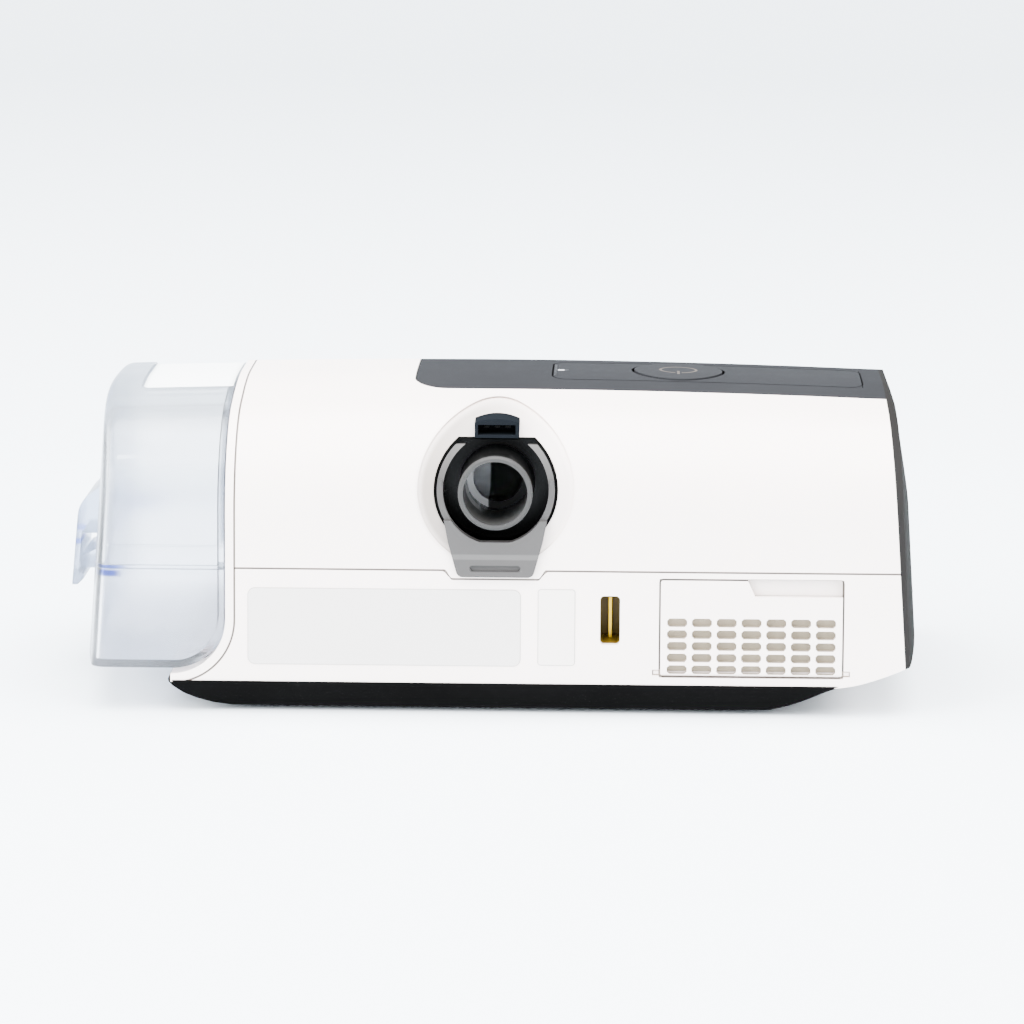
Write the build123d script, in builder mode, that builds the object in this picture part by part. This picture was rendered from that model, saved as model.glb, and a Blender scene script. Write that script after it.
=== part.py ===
from build123d import *
import math
import os

# Bilevel airway pressure machine for the bedside, with a humidifier tub in its left end.
# X runs across the back with the tub at minus X, Y runs from the back to the screen side,
# and Z runs up from the table. Every size is in millimetres and every angle in degrees.

os.makedirs("parts", exist_ok=True)

# Overall size of the machine with the tub in and the outlet fitted
overall_width = 259.4
overall_depth = 138.5
overall_height = 94.5

# Walls, the gaps between pieces, and how far cutting blocks reach past the body
wall = 2.6
seam = 0.2
slip = 0.35
touch = 0.1
beyond = 20.0

# Side outline: upright back, round shoulder, flat roof and leaning front
rim_overhang = 0.95
rear_lean = 3.4
shoulder_drop = 10.2
shoulder_radius = 32.0
roof_break_share = 0.267
roof_break_radius = 120.0
front_lean = 24.8
front_edge_radius = 28.0
chin_z = 11.2
chin_radius = 6.0
crown_radius = 3160.0

# Outline from behind: flat bottom, swept belly and drafted right end
housing_bottom = 9.0
belly_run = 19.7
belly_radius = 45.0
end_corner_z = 18.5
end_draft = 3.8
end_bulge = 6.6
end_roll = 8.5
end_panel_edge = 0.8

# Split lines of the housing
seam_drop = 51.2
tongue_drop = 2.6
tongue_width = 30.2
tongue_lean = 2.4
tongue_round = 2.0
dark_left_x = -23.4
dark_rear_run = 40.25
dark_corner = 10.5
dark_foot_z = 16.0

# Mouth and walls of the tub bay
mouth_run = 54.8
mouth_sweep = 19.0
rim_width = 2.6
bay_setback = 20.15
bay_wall = 1.8
bay_inset = 3.8
bay_floor = 13.0
bay_corner = 7.0

# Tub, with its outer part flush with the body and its inner part in the bay
tub_wall = 2.0
tub_end_run = 6.2
tub_bulge = 6.6
tub_lean = 4.2
tub_bottom = 13.0
tub_roll = 5.0
tub_corner = 15.0
tub_gap = 0.5
tub_slip = 0.7
tub_end_gap = 4.2
seal_height = 1.0
lid_band = 5.7
knuckle_radius = 1.8
hinge_pin_radius = 1.0
hinge_length = 16.0

# Outlet: tapered tube in a round cup, held by a clip whose tab hangs below
outlet_x = 2.45
outlet_drop = 27.5
outlet_radius = 11.0
outlet_bore = 9.5
outlet_taper = 0.025
dish_radius = 23.2
dish_rise = 0.5
dish_depth = 0.6
cup_radius = 18.3
cup_flat = 14.4
cup_rim = 0.5
cup_wall = 1.8
cup_depth = 20.3
clip_width = 1.8
clip_thick = 1.8
tab_top_drop = 15.0
tab_height = 10.4
tab_top_width = 28.0
tab_foot_width = 22.2
tab_proud = 1.6
tab_slot_width = 14.9
tab_slot_height = 1.7
tab_slot_rise = 2.6
tab_corner = 2.0
spigot_length = 3.0
spigot_radius = 10.4
flange_thick = 1.4
rim_round = 0.6
arm_rise = 12.6
tab_lean = 1.2
tab_slot_depth = 0.8
leg_thick = 1.2
leg_half = 3.0

# Power socket for a heated tube, above the cup
socket_width = 13.1
socket_height = 5.7
socket_arch = 1.1
socket_setback = 7.2
socket_depth = 13.0
socket_slot_width = 11.2
socket_slot_height = 3.0
socket_slot_rise = 0.9
socket_slot_depth = 9.0
blade_length = 3.0
blade_count = 3
blade_pitch = 3.2
blade_thick = 0.6

# Filter cover with its grille, hinged at the foot
filter_run = 51.4
filter_width = 53.8
filter_z0 = 12.3
filter_top_drop = 2.3
cover_wall = 2.2
notch_offset = 1.0
notch_lean = 2.2
notch_depth = 4.8
pin_radius = 0.8
pin_slip = 0.08
pin_length = 2.0
grille_pitch_x = 7.32
grille_pitch_z = 3.5
grille_slot_width = 5.9
grille_slot_height = 2.6
grille_top_drop = 12.65
grille_side_gap = 1.9
grille_foot_gap = 0.7
grille_corner = 0.7
foam_thick = 5.0
frame_depth = 18.0
frame_wall = 1.6
pad_thick = 6.0
air_port_margin = 2.35

# Power inlet
power_setback = 14.9
power_rise = 1.35
power_width = 5.9
power_height = 14.6
power_corner = 1.2
power_depth = 14.0
power_wall = 1.6
power_blade = 0.9
power_blade_height = 12.2
power_blade_length = 6.0
power_blade_drop = 1.0

# Button panel on the roof
fascia_x0 = 18.1
fascia_end_run = 17.3
fascia_setback = 10.0
fascia_depth = 28.0
fascia_corner = 4.6
fascia_thick = 1.4
button_x = 56.5
button_setback = 15.5
button_radius = 13.5
button_gap = 0.7
button_proud = 0.25
button_height = 4.0
button_plate = 2.0
button_wall = 1.6
button_stem = 3.0
button_stroke = 1.0
light_pill_setback = 13.0
light_pill_length = 4.2
light_pill_width = 2.2
light_line_width = 0.8
light_depth = 4.0
carrier_wall = 1.8
carrier_gap = 1.0
carrier_depth = 11.0
dome_radius = 3.6
dome_foot = 2.0
dome_lip = 1.0

# Screen in the leaning front
screen_x = 54.0
screen_drop = 45.5
screen_width = 84.0
screen_height = 48.0
screen_corner = 4.0
screen_glass = 1.6
screen_ledge = 3.0
display_thick = 4.0

# Memory card door in the right end
door_y = -11.0
door_width = 34.0
door_height = 10.5
door_top_drop = 3.3
door_wall = 2.2
card_width = 24.0
card_length = 32.0
card_thick = 2.1
slot_wall = 1.2
slot_setback = 5.8

# Latch, catch and recess of the tub's lid
latch_width = 30.0
latch_rise = 16.7
latch_shoulder_rise = 10.2
latch_shoulder_run = 2.4
latch_round = 9.0
latch_drop = 15.8
latch_thick = 1.6
catch_drop = 10.3
catch_height = 7.0
recess_run = 23.2
recess_depth = 0.8
recess_half_y = 26.0
recess_corner = 3.0
groove_depth = 0.5
hook_reach = 2.0
hook_height = 3.4

# Air ports between tub, blower and outlet, in the bay's end wall
outlet_port_run = 45.25
supply_port_drop = 13.0
port_radius = 7.5
port_seal = 2.0
guide_margin = 11.0
guide_plate = 1.5
guide_wall = 1.5
outlet_guide_length = 30.0
supply_guide_length = 12.0

# Heater under the tub
heater_setback = 30.3
heater_length = 36.0
heater_width = 60.0
heater_thick = 1.1
heater_corner = 4.0
plate_margin = 2.0

# Blower
blower_run = 58.7
blower_y = -8.0
scroll_start = 23.5
scroll_growth = 10.5
scroll_height = 12.4
scroll_wall = 1.8
scroll_reach = 36.0
wheel_radius = 22.0
wheel_hub = 6.0
wheel_gap = 0.8
wheel_plate = 1.4
blade_number = 11
vane_thick = 0.9
vane_height = 7.2
vane_sweep = 55.0
vane_radius = 16.0
eye_radius = 12.0
eye_rise = 4.0
motor_radius = 17.0
motor_height = 16.0
motor_gap = 1.0
magnet_radius = 6.0
coil_count = 6
shaft_radius = 1.9
shaft_slip = 0.05
mount_circle = 24.0
mount_count = 3
mount_start = 60.0
mount_radius = 4.5
mount_height = 6.0
boss_radius = 4.0
duct_radius = 8.0
duct_wall = 1.4
duct_bend = 14.0
duct_loft = 12.0
bell_radius = 12.4
bell_length = 4.4
bell_depth = 3.3
bell_slip = 0.3
sensor_length = 14.0
sensor_width = 12.0
sensor_height = 3.7

# Main board
board_clear = 1.35
board_y = 2.0
board_depth = 84.0
board_z = 16.0
board_thick = 1.6
pillar_radius = 2.5
pillar_margin = 4.0

# Base pan and feet
pan_left_run = 35.2
pan_right_run = 22.7
pan_wall = 2.0
pan_bottom = 1.5
pan_inset = 3.65
pan_left_rise = 13.0
pan_right_rise = 24.0
pan_side_rise = 8.6
pan_corner = 6.0
foot_radius = 7.0
foot_sink = 1.0
foot_left_inset = 15.5
foot_inset = 13.0

half_width = overall_width / 2
half_depth = overall_depth / 2
rear_foot_y = -half_depth + rim_overhang
floor_z = housing_bottom + wall
below = -beyond
above = overall_height + beyond
far_left = -half_width - beyond
far_right = half_width + beyond
shoulder_corner_z = overall_height - shoulder_drop
roof_break_y = -roof_break_share * half_depth
belly_x = half_width - belly_run
mouth_x = -half_width + mouth_run
bay_end_x = outlet_x - bay_setback
tub_left_x = -half_width + tub_end_run
dark_rear_y = -half_depth + dark_rear_run
fascia_x1 = half_width - fascia_end_run
fascia_y0 = dark_rear_y + fascia_setback
fascia_y1 = fascia_y0 + fascia_depth
button_y = fascia_y0 + button_setback
light_pill_y = fascia_y0 + light_pill_setback
recess_x = -half_width + recess_run
heater_x = bay_end_x - heater_setback
outlet_z = overall_height - outlet_drop
seam_z = overall_height - seam_drop
tab_top_z = outlet_z - tab_top_drop
tab_foot_z = tab_top_z - tab_height
tab_slot_z = tab_foot_z + tab_slot_rise
screen_z = overall_height - screen_drop
filter_x = half_width - filter_run
cover_x0 = filter_x - filter_width / 2
cover_x1 = filter_x + filter_width / 2
filter_z1 = seam_z - filter_top_drop
notch_x = filter_x + notch_offset
notch_z = filter_z1 - notch_depth
grille_top_z = filter_z1 - grille_top_drop
power_x = cover_x0 - power_setback
power_z = (floor_z + seam_z) / 2 + power_rise
door_z1 = seam_z - door_top_drop
door_z0 = door_z1 - door_height
blower_x = half_width - blower_run
mouth_y = blower_y + scroll_start + scroll_growth / 2
outlet_port_y = -half_depth + outlet_port_run
outlet_port_z = outlet_z
supply_port_y = mouth_y
supply_port_z = outlet_z - supply_port_drop
blower_z = supply_port_z
board_x0 = bay_end_x + board_clear
board_x1 = blower_x - mount_circle - boss_radius - board_clear
board_x = (board_x0 + board_x1) / 2
board_length = board_x1 - board_x0
latch_top_z = seam_z + latch_rise
latch_shoulder_z = seam_z + latch_shoulder_rise
latch_foot_z = seam_z - latch_drop
catch_z0 = seam_z - catch_drop
catch_z1 = catch_z0 + catch_height
pan_left_x = -half_width + pan_left_run
pan_right_x = half_width - pan_right_run
pan_half_y = half_depth - pan_inset
foot_x0 = pan_left_x + pan_left_rise + foot_left_inset
foot_x1 = pan_right_x - pan_right_rise - foot_inset
foot_y = pan_half_y - pan_side_rise - foot_inset
crown_axis = Axis((0, 0, overall_height - crown_radius), (0, 1, 0))


def rear_y(z):
    """Y of the back's straight run at height z."""
    return rear_foot_y + z * math.tan(math.radians(rear_lean))


def front_y(z):
    """Y of the leaning front's straight run at height z."""
    return half_depth - (z - chin_z) * math.tan(math.radians(front_lean))


def crown_z(x):
    """Height of the roof's flat run over the point x."""
    return overall_height - crown_radius + math.sqrt(crown_radius**2 - x**2)


def end_x(z, y=0.0):
    """X of the right end at height z and depth y."""
    draft = (z - end_corner_z) * math.tan(math.radians(end_draft))
    return half_width - draft - end_bulge * (y / half_depth) ** 2


def moved_right(corners, move):
    """The corners of a line of straight runs, after each run has moved to its right."""
    runs = []
    for (x0, y0), (x1, y1) in zip(corners, corners[1:]):
        length = math.hypot(x1 - x0, y1 - y0)
        right_x = (y1 - y0) / length
        right_y = (x0 - x1) / length
        runs.append((x0 + move * right_x, y0 + move * right_y, (x1 - x0) / length, (y1 - y0) / length))
    moved = [runs[0][:2]]
    for (x0, y0, along_x, along_y), (x1, y1, next_x, next_y) in zip(runs, runs[1:]):
        reach = ((x1 - x0) * next_y - (y1 - y0) * next_x) / (along_x * next_y - along_y * next_x)
        moved.append((x0 + reach * along_x, y0 + reach * along_y))
    end_x0, end_y0 = corners[-1]
    last_x, last_y = runs[-1][2:]
    moved.append((end_x0 + move * last_y, end_y0 - move * last_x))
    return moved


def side_outline(inset=0.0):
    """The body's outline seen from its end, inset mm inside the outer skin."""
    corners = [
        (rear_y(below), below),
        (rear_y(shoulder_corner_z), shoulder_corner_z),
        (roof_break_y, overall_height),
        (front_y(overall_height), overall_height),
        (half_depth, chin_z),
        (half_depth, below),
    ]
    radii = [shoulder_radius, roof_break_radius, front_edge_radius, chin_radius]
    with BuildSketch() as outline:
        with BuildLine():
            run = FilletPolyline(
                *moved_right(corners, inset), radius=[max(radius - inset, touch) for radius in radii]
            )
            Line(run @ 1, run @ 0)
        make_face()
    return outline.sketch


def skin(inset=0.0):
    """The side outline swung about a far axis, so that the roof has its slight crown."""
    swing = math.degrees(math.asin((half_width + beyond) / crown_radius))
    with BuildPart() as form:
        with BuildSketch(Plane.YZ):
            add(side_outline(inset))
        revolve(axis=crown_axis, revolution_arc=2 * swing)
    return form.part.rotate(crown_axis, -swing)


def back_outline(inset=0.0):
    """The body's outline from behind, open to the left, inset mm inside the outer skin."""
    roll_x = half_width - 3 * end_roll
    corners = [
        (far_left, housing_bottom),
        (belly_x, housing_bottom),
        (half_width, end_corner_z),
        (end_x(crown_z(half_width)), crown_z(half_width)),
        (roll_x, crown_z(roll_x) + touch),
    ]
    with BuildSketch() as outline:
        with BuildLine():
            run = FilletPolyline(
                *moved_right(corners, -inset), radius=[belly_radius - inset, touch, end_roll - inset]
            )
            Polyline(run @ 1, (roll_x, above), (far_left, above), run @ 0)
        make_face()
    return outline.sketch


def end_block(inset=0.0):
    """A block whose right side is the drafted, slightly bulged end of the body."""
    lean = math.tan(math.radians(end_draft))
    start_x = end_x(below) - inset
    with BuildPart() as form:
        with BuildSketch(Plane.XY.offset(below)):
            with BuildLine():
                dome = ThreePointArc(
                    (start_x - end_bulge, -half_depth), (start_x, 0), (start_x - end_bulge, half_depth)
                )
                Polyline(dome @ 1, (far_left, half_depth), (far_left, -half_depth), dome @ 0)
            make_face()
        extrude(amount=above - below, dir=(-lean, 0, 1))
    return form.part


def body_form(inset=0.0):
    """The whole body without the mouth of the bay, inset mm inside the outer skin."""
    with BuildPart() as form:
        add(skin(inset))
        with BuildSketch(Plane.XZ):
            add(back_outline(inset))
        extrude(amount=overall_depth, both=True, mode=Mode.INTERSECT)
        add(end_block(inset), mode=Mode.INTERSECT)
    return form.part


def write(piece, name):
    """Name a finished piece and write its file."""
    piece.part.label = name
    export_step(piece.part, f"parts/{name}.step")


def mouth_side(reach=0.0):
    """The housing's side of the bay's mouth, grown reach mm toward the tub."""
    sweep_x = mouth_x - mouth_sweep
    sweep_z = housing_bottom + mouth_sweep
    sweep = mouth_sweep - reach
    with BuildPart() as form:
        with BuildSketch(Plane.XZ):
            with BuildLine():
                Line((sweep_x + sweep, above), (sweep_x + sweep, sweep_z))
                curve = RadiusArc(
                    (sweep_x + sweep, sweep_z), (sweep_x, sweep_z - sweep), sweep
                )
                Polyline((sweep_x, sweep_z - sweep), (sweep_x, below), (far_right, below),
                         (far_right, above), (sweep_x + sweep, above))
            make_face()
        extrude(amount=overall_depth, both=True)
    return form.part


def dark_side(gap=0.0):
    """The region of the dark wrap panel: the right of the roof and front, gap mm larger."""
    with BuildPart() as form:
        with BuildSketch(Plane.XY.offset(dark_foot_z - gap)):
            with BuildLine():
                run = FilletPolyline(
                    (far_right, dark_rear_y - gap),
                    (dark_left_x - gap, dark_rear_y - gap),
                    (dark_left_x - gap, half_depth + beyond),
                    radius=dark_corner,
                )
                Polyline(run @ 1, (far_right, half_depth + beyond), run @ 0)
            make_face()
        extrude(amount=above - dark_foot_z)
    return form.part


def upper_side(gap=0.0):
    """Everything above the housing's seam, with the tongue that dips below the outlet's tab."""
    top_half = tongue_width / 2
    foot_half = top_half - tongue_lean
    with BuildPart() as form:
        with BuildSketch(Plane.XZ):
            with BuildLine():
                run = FilletPolyline(
                    (far_left, seam_z - gap),
                    (outlet_x - top_half - gap, seam_z - gap),
                    (outlet_x - foot_half - gap, seam_z - tongue_drop - gap),
                    (outlet_x + foot_half + gap, seam_z - tongue_drop - gap),
                    (outlet_x + top_half + gap, seam_z - gap),
                    (far_right, seam_z - gap),
                    radius=tongue_round,
                )
                Polyline(run @ 1, (far_right, above), (far_left, above), run @ 0)
            make_face()
        extrude(amount=half_depth + beyond)
        with BuildSketch(Plane.XZ):
            with Locations((0, (seam_z - gap + above) / 2)):
                Rectangle(4 * half_width, above - seam_z + gap)
        extrude(amount=-half_depth - beyond)
    return form.part


def bay_section(inset, floor, corner):
    """The section of the bay across X: the side outline inset, with a flat floor."""
    with BuildSketch() as section:
        add(side_outline(inset))
        with Locations((0, (floor + above) / 2)):
            Rectangle(4 * half_depth, above - floor, mode=Mode.INTERSECT)
        fillet(section.vertices().group_by(Axis.Y)[0], radius=corner)
    return section.sketch


def bay_prism(inset, floor, corner, x0, x1):
    """The bay's section carried from x0 to x1."""
    with BuildPart() as form:
        with BuildSketch(Plane.YZ.offset(x0)):
            add(bay_section(inset, floor, corner))
        extrude(amount=x1 - x0)
    return form.part


def disc_y(x, z, radius, y0, y1):
    """A round bar along Y from y0 to y1."""
    with BuildPart() as bar:
        with BuildSketch(Plane.XZ.offset(-y0)):
            with Locations((x, z)):
                Circle(radius)
        extrude(amount=-(y1 - y0))
    return bar.part


def disc_x(y, z, radius, x0, x1):
    """A round bar along X from x0 to x1."""
    with BuildPart() as bar:
        with BuildSketch(Plane.YZ.offset(x0)):
            with Locations((y, z)):
                Circle(radius)
        extrude(amount=x1 - x0)
    return bar.part


def panel_y(x0, x1, z0, z1, corner, y0, y1):
    """A block along Y with rounded corners as seen from behind."""
    with BuildPart() as block:
        with BuildSketch(Plane.XZ.offset(-y0)):
            with Locations(((x0 + x1) / 2, (z0 + z1) / 2)):
                RectangleRounded(x1 - x0, z1 - z0, corner)
        extrude(amount=-(y1 - y0))
    return block.part


def cup_prism(radius, flat, y0, y1):
    """A round bar along Y with a flat cut on its top, as the outlet's cup has."""
    with BuildPart() as form:
        with BuildSketch(Plane.XZ.offset(-y0)):
            with Locations((outlet_x, outlet_z)):
                Circle(radius)
            with Locations((outlet_x, outlet_z + flat - 2 * radius)):
                Rectangle(4 * radius, 4 * radius, mode=Mode.INTERSECT)
        extrude(amount=-(y1 - y0))
    return form.part


def socket_outline(grow=0.0):
    """The arched outline of the heated tube's power socket, grow mm larger."""
    foot_z = outlet_z + cup_flat + touch
    half = socket_width / 2
    with BuildSketch() as outline:
        with BuildLine():
            Polyline(
                (outlet_x - half, foot_z + socket_height - socket_arch),
                (outlet_x - half, foot_z),
                (outlet_x + half, foot_z),
                (outlet_x + half, foot_z + socket_height - socket_arch),
            )
            ThreePointArc(
                (outlet_x - half, foot_z + socket_height - socket_arch),
                (outlet_x, foot_z + socket_height),
                (outlet_x + half, foot_z + socket_height - socket_arch),
            )
        make_face()
        if grow > 0:
            offset(amount=grow, kind=Kind.INTERSECTION)
    return outline.sketch


def cover_outline(grow=0.0):
    """The filter cover seen from behind, with the finger notch at its top right corner."""
    x0 = cover_x0 - grow
    x1 = cover_x1 + grow
    with BuildSketch() as outline:
        with BuildLine():
            Polyline(
                (x0, filter_pivot_z),
                (x1, filter_pivot_z),
                (x1, notch_z + grow),
                (notch_x + grow, notch_z + grow),
                (notch_x - notch_lean + grow, filter_z1 + grow),
                (x0, filter_z1 + grow),
                close=True,
            )
        make_face()
    return outline.sketch


# Places that follow from the sizes above
filter_pivot_z = filter_z0 + cover_wall / 2
filter_pivot_y = rear_y(filter_pivot_z) + cover_wall / 2
opening_y = rear_y(filter_z1) + wall + touch
boss_top = blower_z - scroll_height / 2 - scroll_wall - mount_height - 2 * touch
tub_end_x = bay_end_x - bay_wall - tub_end_gap
tub_inset = bay_inset + bay_wall + tub_slip
tub_floor = bay_floor + 2 * slip
lid_z = seam_z + seal_height / 2 + touch / 2
base_top_z = seam_z - seal_height / 2 - touch / 2
skin_0 = skin()
skin_cover = skin(cover_wall)
skin_wall = skin(wall + touch)
body_outer = body_form()
body_inner = body_form(wall)
body_seat = body_form(wall + touch)

with BuildPart() as shell_form:
    add(body_outer)
    add(body_inner, mode=Mode.SUBTRACT)

# The right end beyond the white housings' edge
with BuildPart() as end_side:
    with BuildSketch(Plane.XZ):
        with BuildLine():
            Polyline(
                (end_x(below, half_depth) - end_panel_edge, below),
                (end_x(above, half_depth) - end_panel_edge, above),
                (far_right, above),
                (far_right, below),
                close=True,
            )
        make_face()
    extrude(amount=overall_depth, both=True)

# Upper white housing, with the outlet's dish and hole and the tube socket's hole
with BuildPart() as dish_cut:
    with BuildSketch(Plane.XZ):
        with Locations((outlet_x, outlet_z + dish_rise)):
            Circle(dish_radius)
    extrude(amount=half_depth + beyond)
    add(skin(dish_depth), mode=Mode.SUBTRACT)

with BuildPart() as socket_cut:
    with BuildSketch(Plane.XZ):
        add(socket_outline(touch))
    extrude(amount=half_depth + beyond)

with BuildPart() as rear_housing:
    add(shell_form.part)
    add(mouth_side(), mode=Mode.INTERSECT)
    add(upper_side(), mode=Mode.INTERSECT)
    add(end_side.part, mode=Mode.SUBTRACT)
    add(dark_side(seam), mode=Mode.SUBTRACT)
    add(dish_cut.part, mode=Mode.SUBTRACT)
    add(cup_prism(cup_radius + touch, cup_flat + touch, -half_depth - beyond, 0), mode=Mode.SUBTRACT)
    add(socket_cut.part, mode=Mode.SUBTRACT)
write(rear_housing, "rear_housing")

# Lower white housing, with the filter's opening, the hinge slits and the power inlet's slot
with BuildPart() as cover_cut:
    with BuildSketch(Plane.XZ.offset(-opening_y)):
        with Locations((filter_x, (filter_z0 + filter_z1) / 2)):
            Rectangle(filter_width + 2 * slip, filter_z1 - filter_z0 + 2 * slip)
    extrude(amount=half_depth)
    with BuildSketch(Plane.XZ.offset(-filter_pivot_y)):
        with Locations((filter_x, filter_pivot_z)):
            Rectangle(filter_width + 2 * pin_length + 2 * slip, 2 * pin_radius + 2 * pin_slip)
    extrude(amount=half_depth)
    add(disc_x(filter_pivot_y, filter_pivot_z, pin_radius + pin_slip,
               filter_x - filter_width / 2 - pin_length - slip,
               filter_x + filter_width / 2 + pin_length + slip))

with BuildPart() as lower_housing:
    add(shell_form.part)
    add(mouth_side(), mode=Mode.INTERSECT)
    add(end_side.part, mode=Mode.SUBTRACT)
    add(dark_side(seam), mode=Mode.SUBTRACT)
    add(upper_side(seam), mode=Mode.SUBTRACT)
    add(cover_cut.part, mode=Mode.SUBTRACT)
    add(panel_y(power_x - power_width / 2, power_x + power_width / 2,
                power_z - power_height / 2, power_z + power_height / 2,
                power_corner, -half_depth - beyond, 0), mode=Mode.SUBTRACT)
    # Bosses under the blower's rubber mounts and pillars under the main board
    with BuildSketch(Plane.XY.offset(floor_z)):
        with Locations((blower_x, blower_y)):
            with PolarLocations(mount_circle, mount_count, start_angle=mount_start):
                Circle(boss_radius)
    extrude(amount=boss_top - floor_z)
    with BuildSketch(Plane.XY.offset(floor_z)):
        with Locations((board_x, board_y)):
            with GridLocations(board_length - 2 * pillar_margin, board_depth - 2 * pillar_margin, 2, 2):
                Circle(pillar_radius)
    extrude(amount=board_z - touch - floor_z)
write(lower_housing, "lower_housing")

# Dark wrap panel over the right of the roof and the front, with its screen and button openings
screen_swing = math.degrees(math.asin(screen_x / crown_radius))
screen_plane = Plane(
    origin=(0, front_y(screen_z), screen_z),
    x_dir=(1, 0, 0),
    z_dir=(0, math.cos(math.radians(front_lean)), math.sin(math.radians(front_lean))),
)


def screen_block(margin, corner, depth0, depth1):
    """A rounded block square to the leaning front, between two depths below its skin."""
    with BuildPart() as form:
        with BuildSketch(screen_plane.offset(-depth0)):
            RectangleRounded(screen_width - 2 * margin, screen_height - 2 * margin, corner)
        extrude(amount=-(depth1 - depth0))
    return form.part.rotate(crown_axis, screen_swing)


def fascia_block(gap, z0):
    """The button panel's outline carried up from z0, gap mm smaller all round."""
    with BuildPart() as form:
        with BuildSketch(Plane.XY.offset(z0)) as outline:
            with Locations(((fascia_x0 + fascia_x1) / 2, (fascia_y0 + fascia_y1) / 2)):
                Rectangle(fascia_x1 - fascia_x0 - 2 * gap, fascia_y1 - fascia_y0 - 2 * gap)
            fillet(outline.vertices().group_by(Axis.X)[0], radius=fascia_corner - gap)
        extrude(amount=above - z0)
    return form.part


def disc_z(x, y, radius, z0, z1):
    """A round bar along Z from z0 to z1."""
    with BuildPart() as bar:
        with BuildSketch(Plane.XY.offset(z0)):
            with Locations((x, y)):
                Circle(radius)
        extrude(amount=z1 - z0)
    return bar.part


def light_block(grow, z0):
    """The T of the light guide, a line across the panel's left end and a short pill."""
    line_x = fascia_x0 + light_line_width
    with BuildPart() as form:
        with BuildSketch(Plane.XY.offset(z0)):
            with Locations((line_x, (fascia_y0 + fascia_y1) / 2)):
                Rectangle(
                    light_line_width + 2 * grow, fascia_y1 - fascia_y0 - 2 * fascia_corner + 2 * grow
                )
            with Locations((line_x + light_pill_length / 2, light_pill_y)):
                SlotOverall(light_pill_length + 2 * grow, light_pill_width + 2 * grow)
        extrude(amount=above - z0)
    return form.part


roof_low = crown_z(fascia_x1) - 2 * wall
fascia_under = skin(fascia_thick)
with BuildPart() as fascia_pocket:
    add(fascia_block(0, roof_low))
    add(fascia_under, mode=Mode.SUBTRACT)

with BuildPart() as wrap_panel:
    add(shell_form.part)
    add(dark_side(), mode=Mode.INTERSECT)
    add(end_side.part, mode=Mode.SUBTRACT)
    add(fascia_pocket.part, mode=Mode.SUBTRACT)
    add(disc_z(button_x, button_y, button_radius + button_gap, roof_low, above), mode=Mode.SUBTRACT)
    add(light_block(touch, roof_low), mode=Mode.SUBTRACT)
    add(screen_block(0, screen_corner, -2 * wall, screen_glass + touch), mode=Mode.SUBTRACT)
    add(screen_block(screen_ledge, screen_corner, -2 * wall, 3 * wall), mode=Mode.SUBTRACT)
write(wrap_panel, "wrap_panel")

with BuildPart() as top_fascia:
    add(skin_0)
    add(fascia_block(seam, roof_low), mode=Mode.INTERSECT)
    add(skin(fascia_thick - touch / 2), mode=Mode.SUBTRACT)
    add(disc_z(button_x, button_y, button_radius + button_gap, roof_low, above), mode=Mode.SUBTRACT)
    add(light_block(touch, roof_low), mode=Mode.SUBTRACT)
write(top_fascia, "top_fascia")

with BuildPart() as indicator_light:
    add(skin_0)
    add(light_block(0, crown_z(fascia_x0) - light_depth), mode=Mode.INTERSECT)
write(indicator_light, "indicator_light")

# Start button with its stem, the rubber dome under it and the switch board in its carrier
roof_at_button = crown_z(button_x)
carrier_floor = roof_at_button - carrier_depth
plate_z = roof_at_button - button_plate
stem_foot = plate_z - button_stem
with BuildPart() as start_button:
    add(skin(-button_proud))
    add(disc_z(button_x, button_y, button_radius, roof_at_button - button_height, above),
        mode=Mode.INTERSECT)
    add(disc_z(button_x, button_y, button_radius - button_wall, stem_foot, plate_z), mode=Mode.SUBTRACT)
    add(disc_z(button_x, button_y, dome_radius, stem_foot, plate_z + button_plate / 4))
write(start_button, "start_button")

with BuildPart() as button_carrier:
    carrier_radius = button_radius + button_gap + carrier_gap
    add(disc_z(button_x, button_y, carrier_radius + carrier_wall, carrier_floor, above))
    add(disc_z(button_x, button_y, carrier_radius, carrier_floor + carrier_wall, above), mode=Mode.SUBTRACT)
    add(skin_wall, mode=Mode.INTERSECT)
write(button_carrier, "button_carrier")

board_top = carrier_floor + carrier_wall + touch + board_thick
with BuildPart() as switch_board:
    add(disc_z(button_x, button_y, button_radius, carrier_floor + carrier_wall + touch, board_top))
write(switch_board, "switch_board")

with BuildPart() as button_dome:
    with BuildSketch(Plane.XZ) as dome_half:
        with BuildLine():
            dome_top = stem_foot - touch - button_stroke
            dome_reach = dome_radius + dome_foot
            Polyline((0, board_top + touch), (dome_reach, board_top + touch),
                     (dome_reach, board_top + dome_lip), (dome_radius, dome_top), (0, dome_top), close=True)
        make_face()
    revolve(axis=Axis.Z)
button_dome.part = button_dome.part.moved(Location((button_x, button_y, 0)))
write(button_dome, "button_dome")

# Screen glass and the display behind it
with BuildPart() as screen_window:
    add(screen_block(seam, screen_corner - seam, touch, screen_glass))
write(screen_window, "screen_window")

with BuildPart() as display_module:
    add(screen_block(screen_ledge + slip, screen_corner - slip, screen_glass + touch,
                     screen_glass + touch + display_thick))
write(display_module, "display_module")

# Dark end panel with the card door's opening
door_plane_slope = 2 * end_bulge * door_y / half_depth**2
door_pivot_z = door_z0 + door_wall / 2
door_pivot = Vector(end_x(door_pivot_z, door_y) - door_wall / 2, door_y, door_pivot_z)
door_axis = Vector(-door_plane_slope, 1, 0).normalized()


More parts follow.
